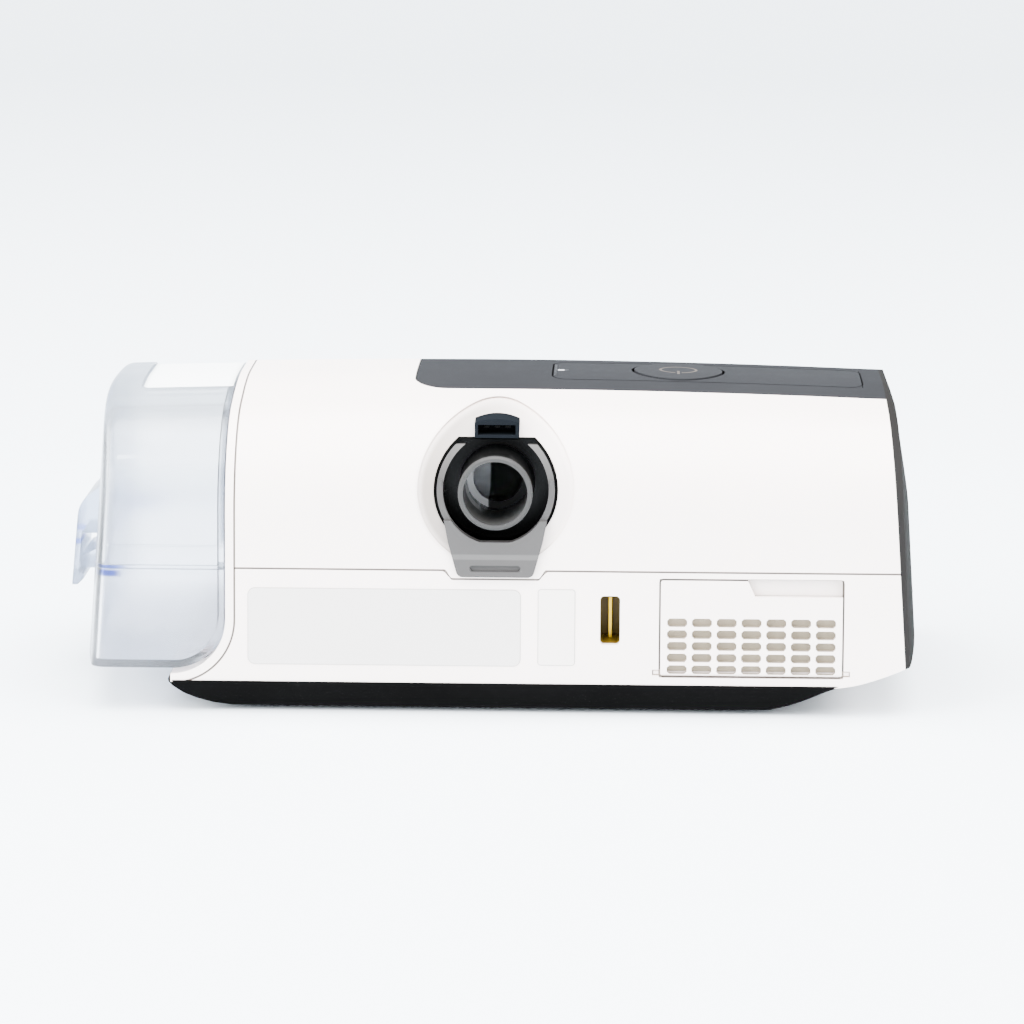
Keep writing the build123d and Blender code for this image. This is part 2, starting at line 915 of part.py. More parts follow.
def door_block(gap, z0):
    """The card door's outline carried through the right end, gap mm smaller all round."""
    with BuildPart() as form:
        with BuildSketch(Plane.YZ.offset(half_width - beyond)):
            with Locations((door_y, (z0 + door_z1) / 2)):
                Rectangle(door_width - 2 * gap, door_z1 - z0 - gap)
        extrude(amount=2 * beyond)
    return form.part


def door_bead(radius, reach):
    """A round bar along the door's pivot line."""
    plane = Plane(origin=door_pivot - door_axis * reach, z_dir=door_axis, x_dir=(0, 0, 1))
    with BuildPart() as form:
        with BuildSketch(plane):
            Circle(radius)
        extrude(amount=2 * reach)
    return form.part


with BuildPart() as end_panel:
    add(shell_form.part)
    add(end_side.part, mode=Mode.INTERSECT)
    add(door_block(0, door_z0 - slip), mode=Mode.SUBTRACT)
write(end_panel, "end_panel")

with BuildPart() as card_door:
    add(body_outer)
    add(door_block(slip, door_pivot_z), mode=Mode.INTERSECT)
    add(body_form(door_wall), mode=Mode.SUBTRACT)
    add(door_bead(door_wall / 2, door_width / 2 - slip))
write(card_door, "card_door")

# Card slot behind the door, on its foot, with a memory card in it
card_z = (door_z0 + door_z1) / 2
slot_x1 = end_x(door_z0, door_y) - slot_setback
slot_x0 = slot_x1 - card_length
with BuildPart() as card_slot:
    with BuildSketch(Plane.XY.offset(card_z - card_thick / 2 - slot_wall)):
        with Locations(((slot_x0 + slot_x1) / 2, door_y)):
            Rectangle(card_length, card_width + 2 * slot_wall + 2 * touch)
    extrude(amount=card_thick + 2 * slot_wall)
    with BuildSketch(Plane.XY.offset(card_z - card_thick / 2 - touch)):
        with Locations(((slot_x0 + slot_x1) / 2 + slot_wall, door_y)):
            Rectangle(card_length, card_width + 2 * touch)
    extrude(amount=card_thick + 2 * touch, mode=Mode.SUBTRACT)
    with BuildSketch(Plane.XY.offset(floor_z + touch)):
        with Locations(((slot_x0 + slot_x1) / 2, door_y)):
            Rectangle(card_length / 2, 2 * slot_wall)
    extrude(amount=card_z - card_thick / 2 - slot_wall - floor_z - touch)
    add(body_seat, mode=Mode.INTERSECT)
write(card_slot, "card_slot")

with BuildPart() as memory_card:
    with BuildSketch(Plane.XY.offset(card_z - card_thick / 2)):
        with BuildLine():
            x0 = slot_x0 + slot_wall + touch
            x1 = slot_x1 + slot_wall / 2
            y0 = door_y - card_width / 2
            y1 = door_y + card_width / 2
            Polyline((x0, y0), (x1, y0), (x1, y1), (x0 + slot_wall, y1), (x0, y1 - slot_wall), close=True)
        make_face()
    extrude(amount=card_thick)
write(memory_card, "memory_card")

# Outlet cup: a thin rim through the housing's hole and a thicker body behind its wall
cup_inner = cup_radius - cup_rim
cup_front_y = -half_depth - beyond
cup_back_y = rear_y(outlet_z) + cup_depth
with BuildPart() as cup_body:
    add(cup_prism(cup_inner + cup_wall, cup_flat, cup_front_y, cup_back_y))
    add(skin_wall, mode=Mode.INTERSECT)

with BuildPart() as outlet_socket:
    add(cup_prism(cup_radius, cup_flat, cup_front_y, cup_back_y))
    add(skin(seam), mode=Mode.INTERSECT)
    add(cup_body.part)
    add(cup_prism(cup_inner, cup_flat - cup_rim, cup_front_y, cup_back_y - cup_wall), mode=Mode.SUBTRACT)
    add(disc_y(outlet_x, outlet_z, spigot_radius + slip, cup_front_y, 0), mode=Mode.SUBTRACT)
write(outlet_socket, "outlet_socket")

# Outlet tube with its conical end, base flange and spigot
rim_y = -half_depth
flange_y1 = cup_back_y - cup_wall - touch
flange_y0 = flange_y1 - flange_thick
spigot_y1 = cup_back_y + spigot_length
outlet_axis = Axis((outlet_x, 0, outlet_z), (0, 1, 0))
with BuildPart() as outlet_tube:
    with BuildSketch(Plane.XY.offset(outlet_z)):
        with BuildLine():
            base_radius = outlet_radius + (flange_y0 - rim_y) * outlet_taper / 2
            Polyline(
                (outlet_x + outlet_bore, rim_y),
                (outlet_x + outlet_radius - rim_round, rim_y),
                (outlet_x + outlet_radius, rim_y + rim_round),
                (outlet_x + base_radius, flange_y0),
                (outlet_x + cup_inner - slip, flange_y0),
                (outlet_x + cup_inner - slip, flange_y1),
                (outlet_x + spigot_radius, flange_y1),
                (outlet_x + spigot_radius, spigot_y1),
                (outlet_x + outlet_bore, spigot_y1),
                close=True,
            )
        make_face()
    revolve(axis=outlet_axis)
    with BuildSketch(Plane.XZ.offset(-flange_y0 + slip)):
        with Locations((outlet_x, outlet_z + cup_flat - cup_rim - slip + cup_radius)):
            Rectangle(2 * cup_radius, 2 * cup_radius)
    extrude(amount=-flange_thick - 2 * slip, mode=Mode.SUBTRACT)
write(outlet_tube, "outlet_tube")

# Release clip: two arms round the cup's edge that meet in the tab below
arm_outer = cup_inner - slip
arm_inner = arm_outer - clip_width
arm_top_z = outlet_z + arm_rise


def clip_outline():
    """The clip seen from behind: a ring open at its top, running into the tab."""
    with BuildSketch() as outline:
        with Locations((outlet_x, outlet_z)):
            Circle(arm_outer)
        with BuildLine():
            Polyline(
                (outlet_x - tab_top_width / 2 - tab_lean, outlet_z - arm_outer / 2),
                (outlet_x - tab_top_width / 2, tab_top_z),
                (outlet_x - tab_foot_width / 2, tab_foot_z),
                (outlet_x + tab_foot_width / 2, tab_foot_z),
                (outlet_x + tab_top_width / 2, tab_top_z),
                (outlet_x + tab_top_width / 2 + tab_lean, outlet_z - arm_outer / 2),
                close=True,
            )
        make_face()
        fillet(outline.vertices().group_by(Axis.Y)[0], radius=tab_corner)
        with BuildSketch(mode=Mode.PRIVATE) as hollow:
            with Locations((outlet_x, outlet_z)):
                Circle(arm_inner)
            with Locations((outlet_x, tab_top_z + arm_inner)):
                Rectangle(2 * arm_inner, 2 * arm_inner, mode=Mode.INTERSECT)
        add(hollow.sketch, mode=Mode.SUBTRACT)
        with Locations((outlet_x, arm_top_z + cup_radius)):
            Rectangle(2 * cup_radius, 2 * cup_radius, mode=Mode.SUBTRACT)
    return outline.sketch


def clip_slab(inset0, inset1):
    """The clip's outline between two depths below the skin."""
    with BuildPart() as form:
        with BuildSketch(Plane.XZ):
            add(clip_outline())
        extrude(amount=half_depth + beyond)
        add(skin(inset0), mode=Mode.INTERSECT)
        add(skin(inset1), mode=Mode.SUBTRACT)
    return form.part


in_cup = cup_prism(arm_outer, cup_flat - cup_rim - slip, cup_front_y, cup_back_y)
with BuildPart() as clip_arms:
    add(clip_slab(seam, seam + clip_thick))
    add(in_cup, mode=Mode.INTERSECT)

with BuildPart() as tab_root:
    add(clip_slab(-tab_proud, seam + clip_thick))
    add(in_cup, mode=Mode.INTERSECT)
    with BuildSketch(Plane.XZ):
        with Locations((outlet_x, outlet_z - arm_outer / 2 + half_depth)):
            Rectangle(half_width, 2 * half_depth)
    extrude(amount=overall_depth, both=True, mode=Mode.SUBTRACT)

with BuildPart() as release_clip:
    add(clip_slab(-tab_proud, -slip))
    with BuildSketch(Plane.XZ):
        with Locations((outlet_x, outlet_z - arm_outer / 2 + half_depth)):
            Rectangle(half_width, 2 * half_depth)
    extrude(amount=overall_depth, both=True, mode=Mode.SUBTRACT)
    add(clip_arms.part)
    add(tab_root.part)
    # Finger slot in the tab
    with BuildSketch(Plane.XZ):
        with Locations((outlet_x, tab_slot_z)):
            SlotOverall(tab_slot_width, tab_slot_height)
    slot_bar = extrude(amount=half_depth + beyond, mode=Mode.PRIVATE)
    add(slot_bar - skin(-tab_proud + tab_slot_depth), mode=Mode.SUBTRACT)
    # Legs back to the tube's flange
    leg_y = rear_y(outlet_z) + seam + clip_thick / 2
    with BuildSketch(Plane.XZ.offset(-leg_y)):
        with Locations((outlet_x, outlet_z)):
            with GridLocations(arm_inner + arm_outer, 1, 2, 1):
                Rectangle(leg_thick, 2 * leg_half)
    extrude(amount=leg_y - flange_y0)
write(release_clip, "release_clip")

# Socket for a heated tube's plug, with its contact blades
socket_foot_z = outlet_z + cup_flat + touch
socket_slot_z = socket_foot_z + socket_slot_rise + socket_slot_height / 2
socket_face_y = rear_y(socket_foot_z) + socket_setback
with BuildPart() as tube_power_socket:
    with BuildSketch(Plane.XZ.offset(-socket_face_y)):
        add(socket_outline())
    extrude(amount=-socket_depth)
    with BuildSketch(Plane.XZ.offset(-socket_face_y)):
        with Locations((outlet_x, socket_slot_z)):
            Rectangle(socket_slot_width, socket_slot_height)
    extrude(amount=-socket_slot_depth, mode=Mode.SUBTRACT)
write(tube_power_socket, "tube_power_socket")

with BuildPart() as socket_contacts:
    with BuildSketch(Plane.XZ.offset(-socket_face_y - socket_slot_depth)):
        with Locations((outlet_x, socket_slot_z)):
            with GridLocations(blade_pitch, 1, blade_count, 1):
                Rectangle(socket_slot_height / 2, blade_thick)
    extrude(amount=blade_length)
write(socket_contacts, "socket_contacts")

# Filter cover with a full-round foot, two pins and its grille
grille_span_x = filter_width - grille_slot_width - 2 * grille_side_gap
grille_span_z = grille_top_z - grille_slot_height / 2 - grille_foot_gap - filter_z0
grille_columns = math.floor(grille_span_x / grille_pitch_x) + 1
grille_rows = math.floor(grille_span_z / grille_pitch_z) + 1
with BuildPart() as filter_cover:
    with BuildSketch(Plane.XZ):
        add(cover_outline())
    extrude(amount=half_depth + beyond)
    add(skin_0, mode=Mode.INTERSECT)
    add(skin_cover, mode=Mode.SUBTRACT)
    add(disc_x(filter_pivot_y, filter_pivot_z, cover_wall / 2, cover_x0, cover_x1))
    with BuildSketch(Plane.XZ) as grille:
        grille_z = grille_top_z - (grille_rows - 1) * grille_pitch_z / 2
        with Locations((filter_x, grille_z)):
            with GridLocations(grille_pitch_x, grille_pitch_z, grille_columns, grille_rows):
                Rectangle(grille_slot_width, grille_slot_height)
        chamfer(grille.vertices(), length=grille_corner)
    extrude(amount=half_depth + beyond, mode=Mode.SUBTRACT)
    add(disc_x(filter_pivot_y, filter_pivot_z, pin_radius, cover_x0 - pin_length, cover_x0 + touch))
    add(disc_x(filter_pivot_y, filter_pivot_z, pin_radius, cover_x1 - touch, cover_x1 + pin_length))
write(filter_cover, "filter_cover")

# Filter frame behind the opening, with the floor of the finger notch and the way to the blower
frame_y1 = opening_y + frame_depth
frame_x0 = cover_x0 - slip - frame_wall
frame_x1 = cover_x1 + slip + frame_wall
frame_z0 = floor_z + touch
frame_z1 = filter_z1 + slip + frame_wall
pad_z = (frame_z0 + frame_wall + notch_z) / 2
pad_height = notch_z - frame_z0 - frame_wall - 2 * touch
air_port_radius = pad_height / 2 - air_port_margin
with BuildPart() as filter_frame:
    add(panel_y(frame_x0, frame_x1, frame_z0, frame_z1, frame_wall, -half_depth, frame_y1))
    add(body_seat, mode=Mode.INTERSECT)
    with BuildSketch(Plane.XZ.offset(-frame_y1 + frame_wall)):
        with Locations((filter_x, pad_z)):
            Rectangle(filter_width, pad_height + 2 * touch)
        with Locations(((cover_x0 + notch_x - notch_lean) / 2, (frame_z0 + frame_wall + filter_z1) / 2)):
            Rectangle(notch_x - notch_lean - cover_x0, filter_z1 - frame_z0 - frame_wall)
    extrude(amount=half_depth, mode=Mode.SUBTRACT)
    add(disc_y(filter_x, pad_z, air_port_radius, frame_y1 - 2 * frame_wall, frame_y1 + wall),
        mode=Mode.SUBTRACT)
write(filter_frame, "filter_frame")

# Filter pad held between the frame's walls
with BuildPart() as filter_pad:
    with BuildSketch(Plane.XZ.offset(-frame_y1 + frame_depth - pad_thick)):
        with Locations((filter_x, pad_z)):
            Rectangle(filter_width - 2 * touch, pad_height)
    extrude(amount=half_depth)
    add(skin(wall + slip), mode=Mode.INTERSECT)
write(filter_pad, "filter_pad")

# Foam that quiets the intake, at the back of the frame
with BuildPart() as intake_foam:
    with BuildSketch(Plane.XZ.offset(-frame_y1 + frame_wall + touch)):
        with Locations((filter_x, pad_z)):
            Rectangle(filter_width - 2 * touch, pad_height)
            Circle(air_port_radius, mode=Mode.SUBTRACT)
    extrude(amount=foam_thick)
write(intake_foam, "intake_foam")

# Power inlet behind its slot, with the contact blade in its middle
power_y0 = rear_y(power_z + power_height / 2) + wall + touch
with BuildPart() as power_inlet:
    add(panel_y(power_x - power_width / 2 - power_wall, power_x + power_width / 2 + power_wall,
                power_z - power_height / 2 - power_wall, power_z + power_height / 2 + power_wall,
                power_wall, -half_depth, power_y0 + power_depth))
    add(skin_wall, mode=Mode.INTERSECT)
    add(panel_y(power_x - power_width / 2, power_x + power_width / 2,
                power_z - power_height / 2, power_z + power_height / 2,
                power_corner, -half_depth, power_y0 + power_depth - power_wall), mode=Mode.SUBTRACT)
write(power_inlet, "power_inlet")

with BuildPart() as power_contact:
    with BuildSketch(Plane.XZ.offset(-power_y0 - power_depth + power_wall)):
        with Locations((power_x, power_z - power_blade_drop)):
            Rectangle(power_blade, power_blade_height)
    extrude(amount=power_blade_length)
write(power_contact, "power_contact")

# Bay frame: the rim that shows at the mouth and the liner that the tub slides in
bay_inner = bay_inset + bay_wall
liner_reach = rim_width - bay_wall / 2
with BuildPart() as bay_rim:
    add(body_outer)
    add(mouth_side(rim_width), mode=Mode.INTERSECT)
    add(mouth_side(seam), mode=Mode.SUBTRACT)

with BuildPart() as bay_liner:
    add(bay_prism(bay_inset, floor_z + touch, bay_corner, mouth_x - mouth_sweep, bay_end_x))
    add(mouth_side(liner_reach), mode=Mode.INTERSECT)
    add(body_seat, mode=Mode.INTERSECT)

with BuildPart() as bay_frame:
    add(bay_liner.part)
    add(bay_rim.part)
    add(bay_prism(bay_inner, bay_floor, bay_corner - bay_wall, far_left, bay_end_x - bay_wall),
        mode=Mode.SUBTRACT)
    for port_y, port_z in ((outlet_port_y, outlet_port_z), (supply_port_y, supply_port_z)):
        add(disc_x(port_y, port_z, port_radius, bay_end_x - 2 * bay_wall, bay_end_x + wall),
            mode=Mode.SUBTRACT)
    with BuildSketch(Plane.XY.offset(floor_z)):
        with Locations((heater_x, 0)):
            RectangleRounded(heater_length + 2 * seam, heater_width + 2 * seam, heater_corner)
    extrude(amount=wall, mode=Mode.SUBTRACT)
write(bay_frame, "bay_frame")

# Seals round the air ports, between the bay's end wall and the tub
seal_x0 = tub_end_x + touch
for port_name, port_y, port_z in (
    ("outlet_port_seal", outlet_port_y, outlet_port_z),
    ("supply_port_seal", supply_port_y, supply_port_z),
):
    with BuildPart() as port_ring:
        add(disc_x(port_y, port_z, port_radius + port_seal, seal_x0, bay_end_x - bay_wall))
        add(disc_x(port_y, port_z, port_radius, seal_x0, bay_end_x - bay_wall), mode=Mode.SUBTRACT)
    write(port_ring, port_name)

# Heater plate in the bay's floor on its insulating pad
with BuildPart() as heater_pad:
    with BuildSketch(Plane.XY.offset(floor_z + touch)):
        with Locations((heater_x, 0)):
            RectangleRounded(heater_length, heater_width, heater_corner)
    extrude(amount=bay_floor + slip - heater_thick - floor_z - touch)
write(heater_pad, "heater_pad")

with BuildPart() as heater_plate:
    with BuildSketch(Plane.XY.offset(bay_floor + slip - heater_thick)):
        with Locations((heater_x, 0)):
            RectangleRounded(heater_length, heater_width, heater_corner)
    extrude(amount=heater_thick)
write(heater_plate, "heater_plate")


def tub_side_x(z, inset=0.0):
    """X of the tub's left wall at height z in the middle of its bulge, inset mm inside it."""
    return tub_left_x + inset + (z - tub_bottom) * math.tan(math.radians(tub_lean))


def tub_end(inset=0.0):
    """A block whose left side is the leaning, bulged end of the tub."""
    plan_radius = (half_depth**2 + tub_bulge**2) / (2 * tub_bulge)
    axis_x = tub_left_x + plan_radius
    swing_axis = Axis((axis_x, 0, 0), (0, 0, 1))
    swing = math.degrees(math.asin((half_depth + beyond) / plan_radius))
    with BuildPart() as form:
        with BuildSketch(Plane.XZ):
            with BuildLine():
                Polyline(
                    (mouth_x, below),
                    (tub_side_x(below, inset), below),
                    (tub_side_x(above, inset), above),
                    (mouth_x, above),
                    close=True,
                )
            make_face()
        revolve(axis=swing_axis, revolution_arc=2 * swing)
    return form.part.rotate(swing_axis, -swing)


def tub_outer(inset=0.0):
    """The tub's outer part, flush with the body, inset mm inside its surface."""
    right_x = mouth_x - rim_width - tub_gap - inset
    foot_z = tub_bottom + slip + inset
    with BuildPart() as form:
        with BuildSketch(Plane.XZ):
            with BuildLine():
                run = FilletPolyline(
                    (right_x, above), (right_x, foot_z), (far_left, foot_z), radius=tub_corner - inset
                )
                Polyline(run @ 1, (far_left, above), run @ 0)
            make_face()
        extrude(amount=overall_depth, both=True)
        add(skin(inset), mode=Mode.INTERSECT)
        add(tub_end(inset), mode=Mode.INTERSECT)
        left_wall = form.faces().sort_by(Axis.X)[0]
        fillet(left_wall.edges().sort_by(Axis.Z)[1:], radius=tub_roll - inset)
    return form.part


# Tub shell: outer and inner part in one, hollowed by its wall
with BuildPart() as tub_shell:
    add(tub_outer())
    add(bay_prism(tub_inset, tub_floor, bay_corner - tub_slip, mouth_x - mouth_sweep, tub_end_x))
    add(tub_outer(tub_wall), mode=Mode.SUBTRACT)
    add(bay_prism(tub_inset + tub_wall, tub_floor + tub_wall, bay_corner - tub_slip - tub_wall,
                  mouth_x - mouth_sweep - tub_wall, tub_end_x - tub_wall), mode=Mode.SUBTRACT)


def above_z(z):
    """Everything over the height z."""
    with BuildPart() as form:
        with BuildSketch(Plane.XY.offset(z)):
            Rectangle(4 * half_width, 4 * half_depth)
        extrude(amount=above)
    return form.part


def tub_groove(z):
    """A shallow groove round the tub's outside at height z."""
    with BuildPart() as form:
        add(above_z(z))
        add(above_z(z + groove_depth), mode=Mode.SUBTRACT)
        add(skin(groove_depth), mode=Mode.SUBTRACT)
    return form.part


def knuckle(y_middle, web_z0, web_z1):
    """One hinge knuckle at a place along Y, with its web on the tub's end wall."""
    with BuildPart() as form:
        with BuildSketch(Plane.XZ.offset(-y_middle - knuckle_length / 2 + touch)):
            with Locations((knuckle_x, seam_z)):
                Circle(knuckle_radius)
            with Locations(((tub_end_x - tub_wall / 2 + knuckle_x) / 2, (web_z0 + web_z1) / 2)):
                Rectangle(knuckle_x - tub_end_x + tub_wall / 2, web_z1 - web_z0)
            with Locations((knuckle_x, seam_z)):
                Circle(hinge_pin_radius + pin_slip, mode=Mode.SUBTRACT)
        extrude(amount=knuckle_length - 2 * touch)
    return form.part


knuckle_length = hinge_length / 3
knuckle_x = tub_end_x + knuckle_radius + touch

# Lid of the tub, with its latch hood, roof recess, groove, air ports and middle knuckle
with BuildPart() as roof_recess:
    with BuildSketch(Plane.XY.offset(crown_z(tub_left_x) - 3 * tub_wall)):
        with Locations((recess_x / 2, 0)):
            RectangleRounded(-recess_x, 2 * recess_half_y, recess_corner)
    extrude(amount=above)
    add(skin(recess_depth), mode=Mode.SUBTRACT)

lip_x = -half_width
latch_slope = latch_shoulder_run / (latch_shoulder_z - latch_foot_z)


def lip_inner_x(z):
    """X of the latch lip's inner face at height z."""
    return lip_x + latch_thick + (z - latch_foot_z) * latch_slope


with BuildPart() as latch_hood:
    with BuildSketch(Plane.XZ.offset(latch_width / 2)):
        with BuildLine():
            run = FilletPolyline(
                (tub_side_x(latch_top_z, tub_wall - touch), latch_top_z),
                (lip_x + latch_shoulder_run, latch_shoulder_z),
                (lip_x, latch_foot_z),
                radius=latch_round,
            )
            hook_top_z = latch_foot_z + hook_height
            Polyline(
                run @ 1,
                (lip_inner_x(latch_foot_z), latch_foot_z),
                (lip_x + latch_thick + hook_reach, latch_foot_z + hook_reach),
                (lip_x + latch_thick + hook_reach, hook_top_z),
                (lip_inner_x(hook_top_z + hook_reach / 2), hook_top_z + hook_reach / 2),
                (lip_inner_x(lid_z), lid_z),
                (tub_side_x(lid_z, tub_wall - touch), lid_z),
                run @ 0,
            )
        make_face()
    extrude(amount=-latch_width)
    outer_edges = latch_hood.faces().sort_by(Axis.X)[0].edges().sort_by(Axis.Y)
    fillet([outer_edges[0], outer_edges[-1]], radius=latch_thick / 2)

with BuildPart() as tub_lid:
    add(tub_shell.part)
    add(above_z(lid_z), mode=Mode.INTERSECT)
    add(roof_recess.part, mode=Mode.SUBTRACT)
    add(tub_groove(lid_z + lid_band), mode=Mode.SUBTRACT)
    for port_y, port_z in ((outlet_port_y, outlet_port_z), (supply_port_y, supply_port_z)):
        add(disc_x(port_y, port_z, port_radius, tub_end_x - 2 * tub_wall, tub_end_x + wall),
            mode=Mode.SUBTRACT)
    add(latch_hood.part)
    add(knuckle(0, lid_z, seam_z + knuckle_radius))
write(tub_lid, "tub_lid")

# Base of the tub, with the catch, the heat plate's window and the outer knuckles
with BuildPart() as tub_base:
    add(tub_shell.part)
    add(above_z(base_top_z), mode=Mode.SUBTRACT)
    with BuildSketch(Plane.XY.offset(tub_bottom)):
        with Locations((heater_x, 0)):
            RectangleRounded(heater_length + 2 * plate_margin + 2 * touch,
                             heater_width + 2 * plate_margin + 2 * touch, heater_corner)
    extrude(amount=2 * tub_wall, mode=Mode.SUBTRACT)
    with BuildSketch(Plane.XZ.offset(latch_width / 2)):
        with BuildLine():
            catch_mid_z = (catch_z0 + catch_z1) / 2
            catch_x = lip_inner_x(catch_mid_z) + slip
            Polyline(
                (tub_side_x(catch_z0, tub_wall - touch), catch_z0),
                (catch_x, catch_z0),
                (catch_x, catch_mid_z),
                (tub_side_x(catch_z1, tub_wall - touch), catch_z1),
                close=True,
            )
        make_face()
    extrude(amount=-latch_width)
    for side in (-1, 1):
        add(knuckle(side * knuckle_length, seam_z - knuckle_radius, base_top_z))
write(tub_base, "tub_base")

with BuildPart() as tub_hinge_pin:
    add(disc_y(knuckle_x, seam_z, hinge_pin_radius, -hinge_length / 2, hinge_length / 2))
write(tub_hinge_pin, "tub_hinge_pin")

with BuildPart() as tub_seal:
    add(tub_shell.part)
    add(above_z(seam_z - seal_height / 2), mode=Mode.INTERSECT)
    add(above_z(seam_z + seal_height / 2), mode=Mode.SUBTRACT)
    add(skin(groove_depth), mode=Mode.INTERSECT)
write(tub_seal, "tub_seal")

with BuildPart() as tub_heat_plate:
    with BuildSketch(Plane.XY.offset(tub_floor)):
        with Locations((heater_x, 0)):
            RectangleRounded(heater_length + 2 * plate_margin, heater_width + 2 * plate_margin, heater_corner)
    extrude(amount=tub_wall)
write(tub_heat_plate, "tub_heat_plate")

# Air guide in the lid: a plate on the end wall with a tube for each port
guide_x1 = tub_end_x - tub_wall - touch
guide_z0 = lid_z + tub_wall
with BuildPart() as tub_air_guide:
    with BuildSketch(Plane.YZ.offset(guide_x1)):
        with BuildLine():
            Polyline(
                (outlet_port_y - guide_margin, guide_z0),
                (supply_port_y + guide_margin, guide_z0),
                (supply_port_y + guide_margin, supply_port_z + guide_margin),
                (outlet_port_y + guide_margin, outlet_port_z + guide_margin),
                (outlet_port_y - guide_margin, outlet_port_z + guide_margin),
                close=True,
            )
        make_face()
        with Locations((outlet_port_y, outlet_port_z), (supply_port_y, supply_port_z)):
            Circle(port_radius, mode=Mode.SUBTRACT)
    extrude(amount=-guide_plate)
    for port_y, port_z, guide_length in (
        (outlet_port_y, outlet_port_z, outlet_guide_length),
        (supply_port_y, supply_port_z, supply_guide_length),
    ):
        with BuildSketch(Plane.YZ.offset(guide_x1 - guide_plate)):
            with Locations((port_y, port_z)):
                Circle(port_radius + guide_wall)
                Circle(port_radius, mode=Mode.SUBTRACT)
        extrude(amount=-guide_length)
    add(bay_prism(tub_inset + tub_wall + slip, tub_floor + tub_wall, bay_corner - tub_slip - tub_wall,
                  mouth_x, tub_end_x - tub_wall), mode=Mode.INTERSECT)
write(tub_air_guide, "tub_air_guide")


def scroll_point(angle, grow):
    """A point of the blower's spiral, whose radius grows over one turn from 90 degrees."""
    radius = scroll_start + scroll_growth * (angle - 90) / 360 + grow
    return (
        blower_x + radius * math.cos(math.radians(angle)),
        blower_y + radius * math.sin(math.radians(angle)),
    )


def scroll_sketch(grow=0.0):
    """The air's way round the wheel and out toward the tub, grow mm larger."""
    with BuildSketch() as outline:
        with BuildLine():
            for step in range(8):
                angle = 90 + 45 * step
                ThreePointArc(
                    scroll_point(angle, grow), scroll_point(angle + 22.5, grow), scroll_point(angle + 45, grow)
                )
            Line(scroll_point(450, grow), scroll_point(90, grow))
        make_face()
        with Locations((blower_x - (scroll_reach + grow) / 2, mouth_y)):
            Rectangle(scroll_reach + grow, scroll_growth + 2 * grow)
    return outline.sketch


# Blower: base with the motor cup, and cover with the eye
outlet_end_x = blower_x - scroll_reach
volute_z0 = blower_z - scroll_height / 2 - scroll_wall
volute_z1 = blower_z + scroll_height / 2 + scroll_wall
cup_z0 = volute_z0 - motor_height - 2 * scroll_wall
with BuildPart() as outlet_mouth:
    with BuildSketch(Plane.YZ.offset(outlet_end_x - 2 * scroll_wall)):
        with Locations((mouth_y, blower_z)):
            Rectangle(scroll_growth, scroll_height)
    extrude(amount=3 * scroll_wall)

with BuildPart() as blower_base:
    with BuildSketch(Plane.XY.offset(volute_z0)):
        add(scroll_sketch(scroll_wall))
    extrude(amount=blower_z - volute_z0)
    add(disc_z(blower_x, blower_y, motor_radius + touch + scroll_wall, cup_z0, volute_z0 + touch))
    with BuildSketch(Plane.XY.offset(volute_z0 + scroll_wall)):
        add(scroll_sketch())
    extrude(amount=scroll_height, mode=Mode.SUBTRACT)
    add(outlet_mouth.part, mode=Mode.SUBTRACT)
    add(disc_z(blower_x, blower_y, motor_radius + touch, cup_z0 + scroll_wall, blower_z), mode=Mode.SUBTRACT)
    add(disc_z(blower_x, blower_y, shaft_radius + shaft_slip, cup_z0 - wall, blower_z), mode=Mode.SUBTRACT)
write(blower_base, "blower_base")

with BuildPart() as blower_cover:
    with BuildSketch(Plane.XY.offset(blower_z + touch)):
        add(scroll_sketch(scroll_wall))
    extrude(amount=volute_z1 - blower_z - touch)
    with BuildSketch(Plane.XY.offset(blower_z)):
        add(scroll_sketch())
    extrude(amount=scroll_height / 2, mode=Mode.SUBTRACT)
    add(outlet_mouth.part, mode=Mode.SUBTRACT)
    add(disc_z(blower_x, blower_y, eye_radius + scroll_wall, volute_z1, volute_z1 + eye_rise))
    add(disc_z(blower_x, blower_y, eye_radius, blower_z, volute_z1 + 2 * eye_rise), mode=Mode.SUBTRACT)
write(blower_cover, "blower_cover")

# Blower wheel with backward-swept vanes
wheel_z0 = volute_z0 + scroll_wall + wheel_gap
vane_z1 = wheel_z0 + wheel_plate + vane_height
with BuildSketch() as vane:
    with BuildLine():
        RadiusArc(
            (wheel_hub - vane_thick, 0),
            ((wheel_radius - vane_thick) * math.cos(math.radians(vane_sweep)),
             -(wheel_radius - vane_thick) * math.sin(math.radians(vane_sweep))),
            vane_radius,
        )
    trace(line_width=vane_thick)

with BuildPart() as impeller:
    add(disc_z(blower_x, blower_y, wheel_radius, wheel_z0, wheel_z0 + wheel_plate))
    with BuildSketch(Plane.XY.offset(wheel_z0 + wheel_plate)):
        with Locations((blower_x, blower_y)):
            Circle(wheel_hub)
            with PolarLocations(0, blade_number):
                add(vane.sketch)
    extrude(amount=vane_height)
    add(disc_z(blower_x, blower_y, shaft_radius, wheel_z0 - wall, vane_z1 + wall), mode=Mode.SUBTRACT)
write(impeller, "impeller")

# Motor: shaft with its magnet, and the stator with its coils
stator_z0 = cup_z0 + scroll_wall + touch
magnet_z0 = stator_z0 + motor_gap
magnet_z1 = stator_z0 + motor_height - motor_gap
with BuildPart() as motor_shaft:
    add(disc_z(blower_x, blower_y, shaft_radius, cup_z0 - wall, vane_z1 - scroll_wall))
    add(disc_z(blower_x, blower_y, magnet_radius, magnet_z0, magnet_z1))
write(motor_shaft, "motor_shaft")

